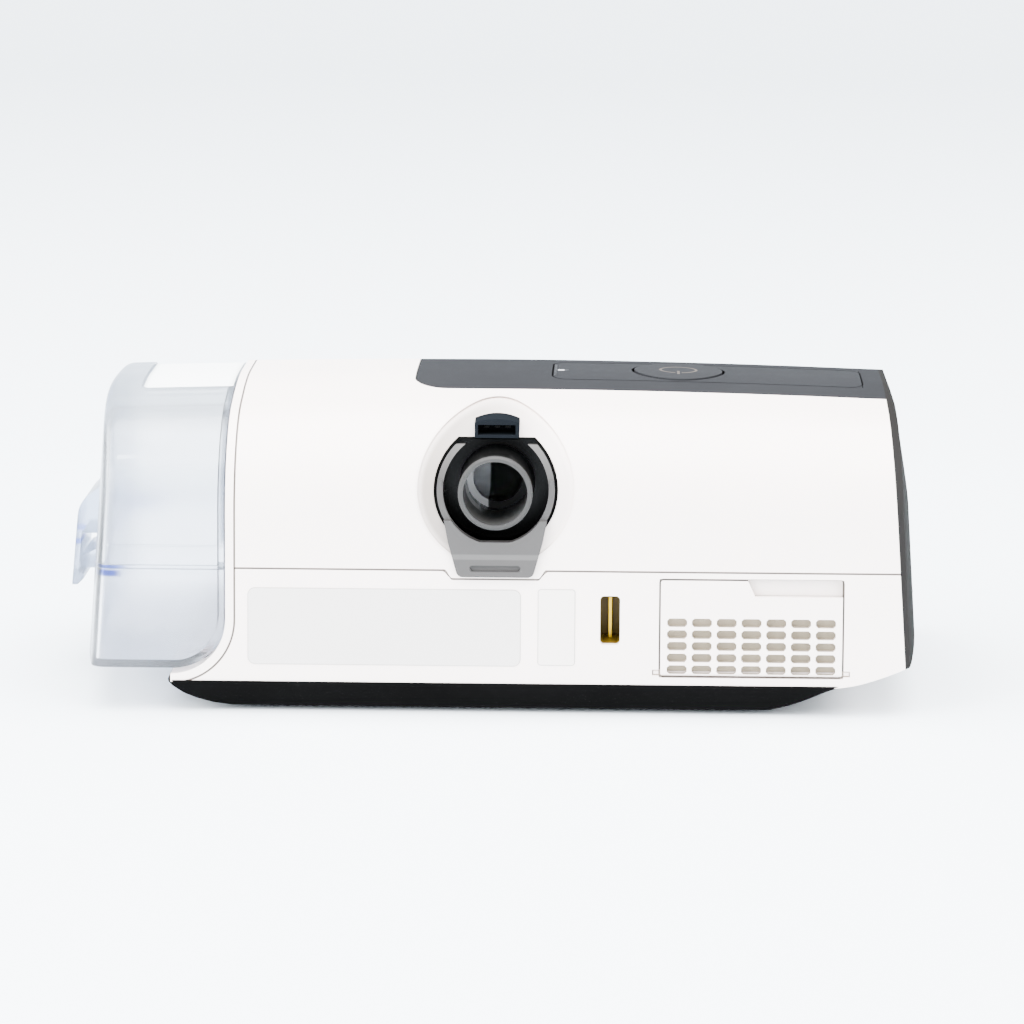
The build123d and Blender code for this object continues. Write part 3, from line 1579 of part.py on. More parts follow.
with BuildPart() as motor_stator:
    with BuildSketch(Plane.XY.offset(stator_z0)):
        with Locations((blower_x, blower_y)):
            Circle(motor_radius)
            Circle(motor_radius - 2 * scroll_wall, mode=Mode.SUBTRACT)
            with PolarLocations((motor_radius + magnet_radius + motor_gap) / 2, coil_count):
                Rectangle(motor_radius - magnet_radius - motor_gap - scroll_wall, magnet_radius)
            Circle(magnet_radius + motor_gap, mode=Mode.SUBTRACT)
    extrude(amount=motor_height)
write(motor_stator, "motor_stator")

# Rubber mounts between the housing's bosses and the blower's base
for number in range(mount_count):
    turn = math.radians(mount_start + 360 * number / mount_count)
    mount_x = blower_x + mount_circle * math.cos(turn)
    mount_y = blower_y + mount_circle * math.sin(turn)
    with BuildPart() as blower_mount:
        add(disc_z(mount_x, mount_y, mount_radius, boss_top + touch, volute_z0 - touch))
        chamfer(blower_mount.edges(), length=mount_radius / 5)
    write(blower_mount, f"blower_mount_{number + 1}")

# Duct from the blower's rectangular mouth to the tub's round inlet
duct_x0 = bay_end_x + touch
duct_x1 = outlet_end_x - scroll_wall - touch
with BuildPart() as duct_bore:
    with BuildSketch(Plane.YZ.offset(duct_x1)):
        with Locations((mouth_y, blower_z)):
            Rectangle(scroll_growth, scroll_height)
    with BuildSketch(Plane.YZ.offset(duct_x1 - duct_loft)):
        with Locations((supply_port_y, supply_port_z)):
            Circle(duct_radius - duct_wall)
    loft()
    add(disc_x(supply_port_y, supply_port_z, duct_radius - duct_wall, duct_x0, duct_x1 - duct_loft))

with BuildPart() as delivery_duct:
    with BuildSketch(Plane.YZ.offset(duct_x1)):
        with Locations((mouth_y, blower_z)):
            Rectangle(scroll_growth + 2 * duct_wall, scroll_height + 2 * duct_wall)
    with BuildSketch(Plane.YZ.offset(duct_x1 - duct_loft)):
        with Locations((supply_port_y, supply_port_z)):
            Circle(duct_radius)
    loft()
    add(disc_x(supply_port_y, supply_port_z, duct_radius, duct_x0, duct_x1 - duct_loft))
    add(duct_bore.part, mode=Mode.SUBTRACT)
write(delivery_duct, "delivery_duct")

with BuildPart() as flow_sensor:
    with BuildSketch(Plane.XY.offset(supply_port_z + duct_radius + slip)):
        with Locations(((duct_x0 + duct_x1) / 2, supply_port_y)):
            RectangleRounded(sensor_length, sensor_width, duct_wall)
    extrude(amount=sensor_height)
write(flow_sensor, "flow_sensor")

# Duct from the tub's outlet port round to the outlet tube's spigot, with a bell for it
pipe_radius = port_radius + duct_wall
bell_y0 = cup_back_y + touch
bell_y1 = bell_y0 + bell_length
with BuildPart() as outlet_duct:
    with BuildLine():
        FilletPolyline(
            (duct_x0, outlet_port_y, outlet_port_z),
            (outlet_x, outlet_port_y, outlet_port_z),
            (outlet_x, bell_y0, outlet_z),
            radius=duct_bend,
        )
    with BuildSketch(Plane.YZ.offset(duct_x0)):
        with Locations((outlet_port_y, outlet_port_z)):
            Circle(pipe_radius)
            Circle(port_radius, mode=Mode.SUBTRACT)
    sweep()
    add(disc_y(outlet_x, outlet_z, bell_radius, bell_y0, bell_y1))
    add(disc_y(outlet_x, outlet_z, port_radius, bell_y0, bell_y1 + touch), mode=Mode.SUBTRACT)
    add(disc_y(outlet_x, outlet_z, spigot_radius + bell_slip, bell_y0, bell_y0 + bell_depth),
        mode=Mode.SUBTRACT)
write(outlet_duct, "outlet_duct")

# Main board on the housing's pillars, with its chips and connectors
with BuildPart() as main_board:
    with BuildSketch(Plane.XY.offset(board_z)):
        with Locations((board_x, board_y)):
            Rectangle(board_length, board_depth)
    extrude(amount=board_thick)
    with BuildSketch(Plane.XY.offset(board_z + board_thick)):
        with Locations((board_x, board_y)):
            with GridLocations(board_length / 3, board_depth / 4, 2, 3):
                Rectangle(board_length / 6, board_length / 6)
    extrude(amount=board_thick)
    with BuildSketch(Plane.XY.offset(board_z + board_thick)):
        with Locations((board_x, board_y)):
            with GridLocations(board_length - 4 * pillar_margin, board_depth - 3 * pillar_margin, 1, 2):
                Rectangle(board_length / 2, pillar_margin)
    extrude(amount=2 * pillar_margin)
write(main_board, "main_board")


def pan_form(inset, z0):
    """The base pan's block, inset mm inside its sides, with its bottom at z0."""
    top_z = housing_bottom - touch
    with BuildPart() as form:
        with BuildSketch(Plane.XY.offset(z0)):
            with Locations(((pan_left_x + pan_left_rise + pan_right_x - pan_right_rise) / 2, 0)):
                RectangleRounded(
                    pan_right_x - pan_right_rise - pan_left_x - pan_left_rise - 2 * inset,
                    2 * (pan_half_y - pan_side_rise - inset),
                    pan_corner - inset,
                )
        with BuildSketch(Plane.XY.offset(top_z)):
            with Locations(((pan_left_x + pan_right_x) / 2, 0)):
                RectangleRounded(
                    pan_right_x - pan_left_x - 2 * inset, 2 * (pan_half_y - inset), pan_corner - inset
                )
        loft(ruled=True)
    return form.part


# Base pan: a black tray whose sides sweep in under the housing
with BuildPart() as base_pan:
    add(pan_form(0, pan_bottom))
    add(pan_form(pan_wall, pan_bottom + pan_wall), mode=Mode.SUBTRACT)
    for foot_x in (foot_x0, foot_x1):
        for side in (-1, 1):
            add(disc_z(foot_x, side * foot_y, foot_radius + touch, 0, pan_bottom + foot_sink + touch),
                mode=Mode.SUBTRACT)
write(base_pan, "base_pan")

# Rubber feet in the pan's pockets
foot_number = 0
for foot_x in (foot_x0, foot_x1):
    for side in (-1, 1):
        foot_number += 1
        with BuildPart() as foot:
            add(disc_z(foot_x, side * foot_y, foot_radius, 0, pan_bottom + foot_sink))
            chamfer(foot.edges().group_by(Axis.Z)[0], length=foot_sink / 2)
        write(foot, f"foot_{foot_number}")
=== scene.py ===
# %% [markdown]
# # A bedside breathing machine, dressed for its photograph
#
# The model comes from the CAD as a fixed frame: every moulding, duct and button is already there at
# its real size, in metres. This script gives each of them the finish of the real piece, adds the thin
# trim that the CAD leaves out, and sets up the studio. It never moves or reshapes a CAD piece: where a
# form has to be finer, a new shell stands for the piece.

# %% Load the frame
import math

import bmesh
import bpy
from mathutils import Matrix, Vector
from mathutils.bvhtree import BVHTree


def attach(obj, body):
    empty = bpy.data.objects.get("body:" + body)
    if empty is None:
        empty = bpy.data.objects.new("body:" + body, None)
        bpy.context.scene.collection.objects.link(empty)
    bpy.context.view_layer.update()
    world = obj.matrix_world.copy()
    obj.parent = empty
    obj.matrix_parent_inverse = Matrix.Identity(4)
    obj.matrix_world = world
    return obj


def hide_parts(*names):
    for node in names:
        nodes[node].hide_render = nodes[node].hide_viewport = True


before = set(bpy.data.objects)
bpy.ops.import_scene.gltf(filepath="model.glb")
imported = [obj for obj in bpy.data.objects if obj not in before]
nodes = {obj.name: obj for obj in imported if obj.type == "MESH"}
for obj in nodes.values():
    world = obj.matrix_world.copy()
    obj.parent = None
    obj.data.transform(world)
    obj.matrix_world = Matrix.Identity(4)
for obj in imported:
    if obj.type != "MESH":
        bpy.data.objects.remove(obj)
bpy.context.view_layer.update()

# %% [markdown]
# ## The camera
#
# The photograph was taken from a little above the back of the machine with a long lens, so the lines
# hardly converge. A camera is easiest to match when it is placed by angles round a target: how far it
# is turned, how high it stands, and how far away it is. The lens follows from the object's size in the
# picture.

# %% Camera at the photograph's angle
MM = 0.001
camera_turn = math.radians(1.6)
camera_rise = math.radians(10.5)
camera_distance = 1350 * MM
camera_target = Vector((5.51, 0, 48.84)) * MM
camera_roll = math.radians(0.25)
focal_pixels = 4354.5
picture_pixels = 1024

camera_data = bpy.data.cameras.new("camera")
camera_data.sensor_width = 36.0
camera_data.lens = focal_pixels / picture_pixels * camera_data.sensor_width
camera_data.clip_start = 0.05
camera_data.clip_end = 20.0
camera = bpy.data.objects.new("camera", camera_data)
bpy.context.scene.collection.objects.link(camera)
back = Vector((
    math.sin(camera_turn) * math.cos(camera_rise),
    -math.cos(camera_turn) * math.cos(camera_rise),
    math.sin(camera_rise),
))
camera.location = camera_target + back * camera_distance
camera.rotation_mode = "QUATERNION"
camera.rotation_quaternion = (-back).to_track_quat("-Z", "Y")
camera.rotation_quaternion @= Matrix.Rotation(camera_roll, 3, "Z").to_quaternion()
bpy.context.scene.camera = camera
print("lens:", round(camera_data.lens, 1), "mm")

# %% [markdown]
# ## The studio
#
# The machine stands on a pale table that runs up into a pale wall with no corner to be seen, which
# photographers call a sweep. One flat sheet, curved where the floor turns up, does the same. Three
# large soft lights give the even, nearly shadowless look: a big one overhead and one from each side.

# %% Floor and wall in one sheet
def plain_material(name, color, roughness):
    """A material with nothing but a colour and a roughness on its own sockets."""
    material = bpy.data.materials.new(name)
    material.use_nodes = True
    shader = material.node_tree.nodes["Principled BSDF"]
    shader.inputs["Base Color"].default_value = (*color, 1)
    shader.inputs["Roughness"].default_value = roughness
    return material


def finish_mesh(bm, name, material, smooth=True):
    """Turns a bmesh into an object of the scene, with its place kept in its mesh."""
    mesh = bpy.data.meshes.new(name)
    for face in bm.faces:
        face.smooth = smooth
    bm.to_mesh(mesh)
    bm.free()
    mesh.materials.append(material)
    piece = bpy.data.objects.new(name, mesh)
    bpy.context.scene.collection.objects.link(piece)
    return piece


sweep_width = 6.0
sweep_front = -2.5
sweep_back = 2.2
sweep_height = 2.6
sweep_radius = 0.9

bm = bmesh.new()
bmesh.ops.create_grid(bm, x_segments=1, y_segments=1, size=0.5)
bmesh.ops.delete(bm, geom=list(bm.faces), context="FACES_ONLY")
bmesh.ops.delete(bm, geom=[v for v in bm.verts if v.co.y < 0], context="VERTS")
bmesh.ops.scale(bm, vec=(sweep_width, 0, 0), verts=list(bm.verts))
bmesh.ops.translate(bm, vec=(0, sweep_front, 0), verts=list(bm.verts))
run = bmesh.ops.extrude_edge_only(bm, edges=list(bm.edges))["geom"]
bmesh.ops.translate(
    bm, vec=(0, sweep_back - sweep_front, 0), verts=[v for v in run if isinstance(v, bmesh.types.BMVert)]
)
bmesh.ops.spin(
    bm,
    geom=[e for e in run if isinstance(e, bmesh.types.BMEdge)],
    cent=(0, sweep_back, sweep_radius),
    axis=(1, 0, 0),
    angle=math.radians(90),
    steps=24,
)
top = [v for v in bm.verts if v.co.z > sweep_radius - 1e-4]
top_edges = [e for e in bm.edges if all(v in top for v in e.verts)]
rise = bmesh.ops.extrude_edge_only(bm, edges=top_edges)["geom"]
bmesh.ops.translate(
    bm, vec=(0, 0, sweep_height - sweep_radius), verts=[v for v in rise if isinstance(v, bmesh.types.BMVert)]
)
bmesh.ops.recalc_face_normals(bm, faces=list(bm.faces))
sweep = finish_mesh(bm, "studio_sweep", plain_material("studio_paper", (0.8, 0.855, 0.9), 0.75))
print("sweep faces:", len(sweep.data.polygons))

# %% Three soft lights and a pale sky
def soft_light(name, place, aim, size, power, color=(1, 1, 1)):
    """A square area light at a place, turned to face a point."""
    data = bpy.data.lights.new(name, "AREA")
    data.size = size
    data.energy = power
    data.color = color
    light = bpy.data.objects.new(name, data)
    bpy.context.scene.collection.objects.link(light)
    light.location = place
    light.rotation_mode = "QUATERNION"
    light.rotation_quaternion = (Vector(aim) - Vector(place)).to_track_quat("-Z", "Y")
    return light


soft_light("overhead_light", (0.0, -0.3, 1.9), (0, 0, 0), 2.2, 290)
soft_light("left_light", (-1.5, -1.2, 0.9), (0, 0, 0.05), 1.2, 125, (0.97, 0.985, 1.0))
soft_light("right_light", (1.6, -1.3, 0.9), (0, 0, 0.05), 1.2, 40)

world = bpy.data.worlds.new("studio_sky")
world.use_nodes = True
bpy.context.scene.world = world
sky = world.node_tree.nodes["Background"]
sky.inputs["Color"].default_value = (0.93, 0.965, 1.0, 1)
sky.inputs["Strength"].default_value = 3.9

# %% [markdown]
# ## Effects that several plastics share
#
# Moulded plastic is never a flat colour. Two things give it away: a fine grain that the tool was
# etched with, and a slow drift in tone and gloss where it has been handled. Each is a node group here,
# built once, so that every plastic can use it with its own numbers. The pattern reads Object
# coordinates, which are metres on these pieces, so a scale means the same thing on each.

# %% A helper for node groups
def node_group(name, inputs, outputs):
    """A new shader node group with its sockets, its input node and its output node."""
    group = bpy.data.node_groups.new(name, "ShaderNodeTree")
    for label, value in inputs.items():
        socket = group.interface.new_socket(label, in_out="INPUT", socket_type="NodeSocketFloat")
        socket.default_value = value
    for label in outputs:
        group.interface.new_socket(label, in_out="OUTPUT", socket_type="NodeSocketFloat")
    return group, group.nodes.new("NodeGroupInput"), group.nodes.new("NodeGroupOutput")


def noise_node(group, detail, roughness):
    """A noise texture on Object coordinates inside a group."""
    place = group.nodes.new("ShaderNodeTexCoord")
    noise = group.nodes.new("ShaderNodeTexNoise")
    noise.inputs["Detail"].default_value = detail
    noise.inputs["Roughness"].default_value = roughness
    group.links.new(place.outputs["Object"], noise.inputs["Vector"])
    return noise


# %% Etched grain
grain_group, given, result = node_group("etched_grain", {"Scale": 2500.0}, ["Height"])
noise = noise_node(grain_group, 3, 0.6)
grain_group.links.new(given.outputs["Scale"], noise.inputs["Scale"])
grain_group.links.new(noise.outputs["Fac"], result.inputs["Height"])
print("group:", grain_group.name)

# %% Slow drift in tone and gloss
drift_group, given, result = node_group(
    "handling_drift", {"Scale": 22.0, "Low": 0.4, "High": 0.6}, ["Factor"]
)
noise = noise_node(drift_group, 4, 0.55)
spread = drift_group.nodes.new("ShaderNodeMapRange")
drift_group.links.new(given.outputs["Scale"], noise.inputs["Scale"])
drift_group.links.new(noise.outputs["Fac"], spread.inputs["Value"])
drift_group.links.new(given.outputs["Low"], spread.inputs["From Min"])
drift_group.links.new(given.outputs["High"], spread.inputs["From Max"])
drift_group.links.new(spread.outputs["Result"], result.inputs["Factor"])
print("group:", drift_group.name)

# %% [markdown]
# ## Thin lines where parts meet
#
# Where two mouldings meet, the real machine shows a hair-thin dark line of shade in the gap. The gap is
# modelled, but it is narrower than a pixel, so light alone hardly shows it, and each line is painted shade:
# a mask worked out from Object coordinates, the distance from a point to the line, turned into 1 on the
# line and 0 beside it. Four shapes of mask are enough: a level seam with a dip, the sweep of the bay's
# mouth, the outline of a rounded rectangle, which with a corner as large as its half is also a circle, and
# the sign on the start button, which is print.

# %% Helpers for masks
def math_node(group, operation, *values):
    """A Math node whose inputs are numbers or other nodes' sockets."""
    node = group.nodes.new("ShaderNodeMath")
    node.operation = operation
    for socket, value in zip(node.inputs, values):
        if isinstance(value, bpy.types.NodeSocket):
            group.links.new(value, socket)
        else:
            socket.default_value = value
    return node.outputs["Value"]


def length_of(group, across, up):
    """The length of a step of two parts."""
    squares = [math_node(group, "MULTIPLY", value, value) for value in (across, up)]
    return math_node(group, "SQRT", math_node(group, "ADD", *squares))


def object_place(group):
    """The X, Y and Z of Object coordinates."""
    place = group.nodes.new("ShaderNodeTexCoord")
    split = group.nodes.new("ShaderNodeSeparateXYZ")
    group.links.new(place.outputs["Object"], split.inputs["Vector"])
    return split.outputs["X"], split.outputs["Y"], split.outputs["Z"]


def fade_node(group, value, low, high, at_low=0.0, at_high=1.0):
    """A smooth ramp from at_low to at_high as the value goes from low to high."""
    fade = group.nodes.new("ShaderNodeMapRange")
    fade.interpolation_type = "SMOOTHSTEP"
    labels = ("Value", "From Min", "From Max", "To Min", "To Max")
    for label, given_value in zip(labels, (value, low, high, at_low, at_high)):
        if isinstance(given_value, bpy.types.NodeSocket):
            group.links.new(given_value, fade.inputs[label])
        else:
            fade.inputs[label].default_value = given_value
    return fade.outputs["Result"]


def line_mask(group, distance, half_width):
    """1 within half a line's width of it, fading to 0 at twice that distance."""
    reach = math_node(group, "ABSOLUTE", distance)
    return fade_node(group, reach, half_width, math_node(group, "MULTIPLY", half_width, 2.0), 1.0, 0.0)


# %% A level seam with a dip
seam_group, given, result = node_group(
    "level_seam",
    {"Height": 0.04, "Dip": 0.002, "Middle": 0.0, "Foot": 0.01, "Shoulder": 0.012, "From X": -1.0,
     "Half Width": 0.0002},
    ["Mask"],
)
x, y, z = object_place(seam_group)
off = math_node(seam_group, "ABSOLUTE", math_node(seam_group, "SUBTRACT", x, given.outputs["Middle"]))
dip = fade_node(
    seam_group, off, given.outputs["Foot"], given.outputs["Shoulder"], given.outputs["Dip"], 0.0
)
dip = math_node(seam_group, "MULTIPLY", dip, math_node(seam_group, "LESS_THAN", y, 0.0))
level = math_node(seam_group, "SUBTRACT", given.outputs["Height"], dip)
mask = line_mask(seam_group, math_node(seam_group, "SUBTRACT", z, level), given.outputs["Half Width"])
past_start = math_node(seam_group, "GREATER_THAN", x, given.outputs["From X"])
mask = math_node(seam_group, "MULTIPLY", mask, past_start)
seam_group.links.new(mask, result.inputs["Mask"])
print("group:", seam_group.name)

# %% The sweep of the bay's mouth
mouth_group, given, result = node_group(
    "mouth_sweep", {"Centre X": -0.09, "Centre Z": 0.028, "Radius": 0.019, "Half Width": 0.0002}, ["Mask"]
)
x, y, z = object_place(mouth_group)
across = math_node(mouth_group, "SUBTRACT", x, given.outputs["Centre X"])
up = math_node(mouth_group, "SUBTRACT", z, given.outputs["Centre Z"])
reach = length_of(mouth_group, across, math_node(mouth_group, "MINIMUM", up, 0.0))
off_line = math_node(mouth_group, "SUBTRACT", reach, given.outputs["Radius"])
mask = line_mask(mouth_group, off_line, given.outputs["Half Width"])
mouth_group.links.new(mask, result.inputs["Mask"])
print("group:", mouth_group.name)

# %% The outline of a rounded rectangle
outline_group, given, result = node_group(
    "rounded_outline",
    {"Across": 0.0, "Up": 0.0, "Centre Across": 0.0, "Centre Up": 0.0, "Half Across": 0.01, "Half Up": 0.01,
     "Corner": 0.001, "Half Width": 0.0002},
    ["Mask", "Inside"],
)
beyond = []
for label in ("Across", "Up"):
    off = math_node(outline_group, "SUBTRACT", given.outputs[label], given.outputs["Centre " + label])
    off = math_node(outline_group, "ABSOLUTE", off)
    straight = math_node(outline_group, "SUBTRACT", given.outputs["Half " + label], given.outputs["Corner"])
    beyond.append(math_node(outline_group, "SUBTRACT", off, straight))
outside = length_of(outline_group, *[math_node(outline_group, "MAXIMUM", step, 0.0) for step in beyond])
within = math_node(outline_group, "MINIMUM", math_node(outline_group, "MAXIMUM", *beyond), 0.0)
distance = math_node(outline_group, "ADD", outside, within)
distance = math_node(outline_group, "SUBTRACT", distance, given.outputs["Corner"])
mask = line_mask(outline_group, distance, given.outputs["Half Width"])
outline_group.links.new(mask, result.inputs["Mask"])
outline_group.links.new(math_node(outline_group, "LESS_THAN", distance, 0.0), result.inputs["Inside"])
print("group:", outline_group.name)

# %% The standby sign: an open ring with a tick
sign_group, given, result = node_group(
    "standby_sign", {"Centre X": 0.0, "Centre Y": 0.0, "Radius": 0.005, "Half Width": 0.0003}, ["Mask"]
)
x, y, z = object_place(sign_group)
across = math_node(sign_group, "SUBTRACT", x, given.outputs["Centre X"])
away = math_node(sign_group, "SUBTRACT", y, given.outputs["Centre Y"])
ring_reach = math_node(sign_group, "SUBTRACT", length_of(sign_group, across, away), given.outputs["Radius"])
ring = line_mask(sign_group, ring_reach, given.outputs["Half Width"])
gap_edge = math_node(sign_group, "MULTIPLY", given.outputs["Half Width"], 4.0)
aside = math_node(sign_group, "GREATER_THAN", math_node(sign_group, "ABSOLUTE", across), gap_edge)
far_side = math_node(sign_group, "GREATER_THAN", away, 0.0)
ring = math_node(sign_group, "MULTIPLY", ring, math_node(sign_group, "MAXIMUM", aside, far_side))
tick_middle = math_node(sign_group, "MULTIPLY", given.outputs["Radius"], -0.9)
tick_off = math_node(sign_group, "ABSOLUTE", math_node(sign_group, "SUBTRACT", away, tick_middle))
tick_half = math_node(sign_group, "MULTIPLY", given.outputs["Radius"], 0.5)
tick = math_node(
    sign_group, "MULTIPLY", line_mask(sign_group, across, given.outputs["Half Width"]),
    math_node(sign_group, "LESS_THAN", tick_off, tick_half),
)
sign_group.links.new(math_node(sign_group, "MAXIMUM", ring, tick), result.inputs["Mask"])
print("group:", sign_group.name)

# %% [markdown]
# ## One recipe for the opaque plastics
#
# The housings, the panels and the pan are all moulded plastic and differ only in colour, gloss and
# grain, so one function makes them. The tone runs between two near colours by the drift, the gloss
# runs with it, and the grain lifts the surface through a Bump node.

# %% Moulded plastic
def add_group(material, group, **values):
    """Places a node group in a material with its own numbers."""
    node = material.node_tree.nodes.new("ShaderNodeGroup")
    node.node_tree = group
    for label, value in values.items():
        node.inputs[label].default_value = value
    return node


def moulded_plastic(name, color, tone_drift, roughness, gloss_drift, grain_scale, grain_depth, shine=0.5):
    """A plastic with drifting tone and gloss, and an etched grain."""
    material = bpy.data.materials.new(name)
    material.use_nodes = True
    tree = material.node_tree
    shader = tree.nodes["Principled BSDF"]
    shader.inputs["Specular IOR Level"].default_value = shine
    drift = add_group(material, drift_group, Scale=22.0)
    tone = tree.nodes.new("ShaderNodeMix")
    tone.data_type = "RGBA"
    tone.inputs["A"].default_value = (*[c * (1 - tone_drift) for c in color], 1)
    tone.inputs["B"].default_value = (*color, 1)
    tree.links.new(drift.outputs["Factor"], tone.inputs["Factor"])
    tree.links.new(tone.outputs["Result"], shader.inputs["Base Color"])
    gloss = tree.nodes.new("ShaderNodeMapRange")
    gloss.inputs["To Min"].default_value = roughness - gloss_drift
    gloss.inputs["To Max"].default_value = roughness + gloss_drift
    tree.links.new(drift.outputs["Factor"], gloss.inputs["Value"])
    tree.links.new(gloss.outputs["Result"], shader.inputs["Roughness"])
    grain = add_group(material, grain_group, Scale=grain_scale)
    bump = tree.nodes.new("ShaderNodeBump")
    bump.inputs["Strength"].default_value = 0.6
    bump.inputs["Distance"].default_value = grain_depth
    tree.links.new(grain.outputs["Height"], bump.inputs["Height"])
    tree.links.new(bump.outputs["Normal"], shader.inputs["Normal"])
    return material


def paint_over(material, mask, color):
    """Lays a colour over what feeds a material's base colour, where the mask is 1."""
    tree = material.node_tree
    target = tree.nodes["Principled BSDF"].inputs["Base Color"]
    mix = tree.nodes.new("ShaderNodeMix")
    mix.data_type = "RGBA"
    tree.links.new(target.links[0].from_socket, mix.inputs["A"])
    mix.inputs["B"].default_value = (*color, 1)
    tree.links.new(mask, mix.inputs["Factor"])
    tree.links.new(mix.outputs["Result"], target)


def draw_outline(material, plane, centre, half, corner, half_width, color):
    """Draws a rounded rectangle's outline in mm on a material: on the roof (XY) or on the back (XZ)."""
    place = object_place(material.node_tree)
    outline = add_group(
        material, outline_group,
        **{"Centre Across": centre[0] * MM, "Centre Up": centre[1] * MM, "Half Across": half[0] * MM,
           "Half Up": half[1] * MM, "Corner": corner * MM, "Half Width": half_width * MM},
    )
    tree = material.node_tree
    for label, letter in zip(("Across", "Up"), plane):
        tree.links.new(place["XYZ".index(letter)], outline.inputs[label])
    mask = outline.outputs["Mask"]
    if plane == "XZ":
        mask = math_node(tree, "MULTIPLY", mask, math_node(tree, "LESS_THAN", place[1], 0.0))
    paint_over(material, mask, color)
    return outline


def dress(material, *names):
    """Gives a material to CAD nodes, in every slot that they have."""
    for name in names:
        data = nodes[name].data
        data.materials.clear()
        data.materials.append(material)
    print(material.name, "on", ", ".join(names))


# %% [markdown]
# ## The white mouldings
#
# Places on the machine are given in mm here and turned into metres where they are used. The dish round
# the outlet has soft painted shade, more on its left, and the seams are hair-thin brown-grey lines of
# painted shade.

# %% White housings and rim
white_color = (0.88, 0.78, 0.735)
gap_shade = (0.06, 0.042, 0.032)
hair_line = 0.19
outlet_x, outlet_z = 2.45, 67.0
cover_outline = {"centre": (78.3, 26.7), "half": (27.1, 14.5), "corner": 1.0}


def outlet_reach(tree):
    """The distance of a point from the outlet's axis."""
    x, y, z = object_place(tree)
    across = math_node(tree, "SUBTRACT", x, outlet_x * MM)
    return length_of(tree, across, math_node(tree, "SUBTRACT", z, outlet_z * MM))


white = moulded_plastic("white_moulding", white_color, 0.012, 0.38, 0.03, 3200.0, 0.00002)
tree = white.node_tree
x, y, z = object_place(tree)
# Painted shade: darker in the dish round the outlet, more on its left.
dish_shade = fade_node(tree, outlet_reach(tree), 21 * MM, 24.5 * MM, 0.9, 0.0)
dish_side = fade_node(tree, x, -17 * MM, 24 * MM, 1.0, 0.3)
paint_over(white, math_node(tree, "MULTIPLY", dish_shade, dish_side), (0.2, 0.17, 0.148))
# Painted shade: hair-thin dark lines along the seam, the bay's mouth and the filter cover's outline.
seam_line = add_group(
    white, seam_group,
    **{"Height": 43.35 * MM, "Dip": 2.6 * MM, "Middle": outlet_x * MM, "Foot": 12.7 * MM,
       "Shoulder": 15.1 * MM, "From X": -75.1 * MM, "Half Width": hair_line * MM},
)
paint_over(white, seam_line.outputs["Mask"], gap_shade)
mouth_line = add_group(
    white, mouth_group,
    **{"Centre X": -93.9 * MM, "Centre Z": 28 * MM, "Radius": 19.1 * MM, "Half Width": hair_line * MM},
)
paint_over(white, mouth_line.outputs["Mask"], gap_shade)
draw_outline(white, "XZ", **cover_outline, half_width=hair_line, color=gap_shade)
dress(white, "rear_housing", "lower_housing", "bay_frame", "filter_frame")

# %% [markdown]
# ## The filter cover
#
# The cover over the filter has thirty-five slots that look warm and dim, because they are narrow and a
# cream cloth lies behind them. Light alone gives that only after many bounces, so the inside of the slots
# is painted with a warm shade. The mask grows with the depth behind the leaning back, ends just before the
# cover's inner face, and stops above the grille.

# %% Filter cover, shaded inside its slots
back_lean = math.radians(3.4)
back_foot_y = -68.3 * MM
cover_wall = 2.2 * MM
grille_top = 29.2 * MM
skin = 0.1 * MM
cover_white = moulded_plastic("cover_white", white_color, 0.012, 0.38, 0.03, 3200.0, 0.00002)
# Painted shade: the hair-thin line round the cover.
draw_outline(cover_white, "XZ", **cover_outline, half_width=hair_line, color=gap_shade)
tree = cover_white.node_tree
x, y, z = object_place(tree)
back_y = math_node(tree, "ADD", math_node(tree, "MULTIPLY", z, math.tan(back_lean)), back_foot_y)
depth = math_node(tree, "SUBTRACT", y, back_y)
before_inside = math_node(tree, "LESS_THAN", depth, cover_wall - skin)
cover_slot_shade = math_node(tree, "MULTIPLY", fade_node(tree, depth, skin, 9 * skin), before_inside)
cover_slot_shade = math_node(tree, "MULTIPLY", cover_slot_shade, math_node(tree, "LESS_THAN", z, grille_top))
# Painted shade inside the slots.
paint_over(cover_white, cover_slot_shade, (0.3, 0.25, 0.19))
dress(cover_white, "filter_cover")

# %% [markdown]
# ## The dark panels and the pan
#
# The wrap panel, the inset button panel and the dark end are charcoal plastics that differ a little in
# gloss and warmth, and the pan below is nearly black. A dark plastic shows the lamps more than its own
# colour, so its specular level is turned almost off: with the usual 0.5 the roof would look pale grey.
# The outline of the inset panel and the ring round the button are painted shade, drawn over the modelled
# gaps, and the standby sign, which is print, is drawn by its own group.

# %% Charcoal wrap panel, button panel and dark end
panel_gap_shade = (0.002, 0.002, 0.002)
charcoal_color = (0.0165, 0.017, 0.0185)
button_x = 56.5
button_ring = 13.95
charcoal = moulded_plastic("charcoal_panel", charcoal_color, 0.12, 0.6, 0.04, 1500.0, 0.00006, 0.001)
satin_charcoal = moulded_plastic("charcoal_satin", charcoal_color, 0.08, 0.5, 0.03, 2600.0, 0.00002, 0.001)
for dark in (charcoal, satin_charcoal):
    # Painted shade: a black line round the inset panel, and a black ring round the start button.
    draw_outline(dark, "XY", (65.25, -5.0), (47.2, 14.1), 4.6, 0.16, panel_gap_shade)
draw_outline(satin_charcoal, "XY", (button_x, -3.5), (button_ring, button_ring), button_ring, 0.3, panel_gap_shade)
dress(charcoal, "wrap_panel")
dress(satin_charcoal, "top_fascia")
button_satin = moulded_plastic("button_satin", (0.018, 0.0185, 0.02), 0.08, 0.5, 0.03, 2600.0, 0.00002, 0.001)
sign = add_group(
    button_satin, sign_group,
    **{"Centre X": button_x * MM, "Centre Y": -2.7 * MM, "Radius": 5.5 * MM, "Half Width": 0.25 * MM},
)
paint_over(button_satin, sign.outputs["Mask"], (0.06, 0.053, 0.048))
dress(button_satin, "start_button")
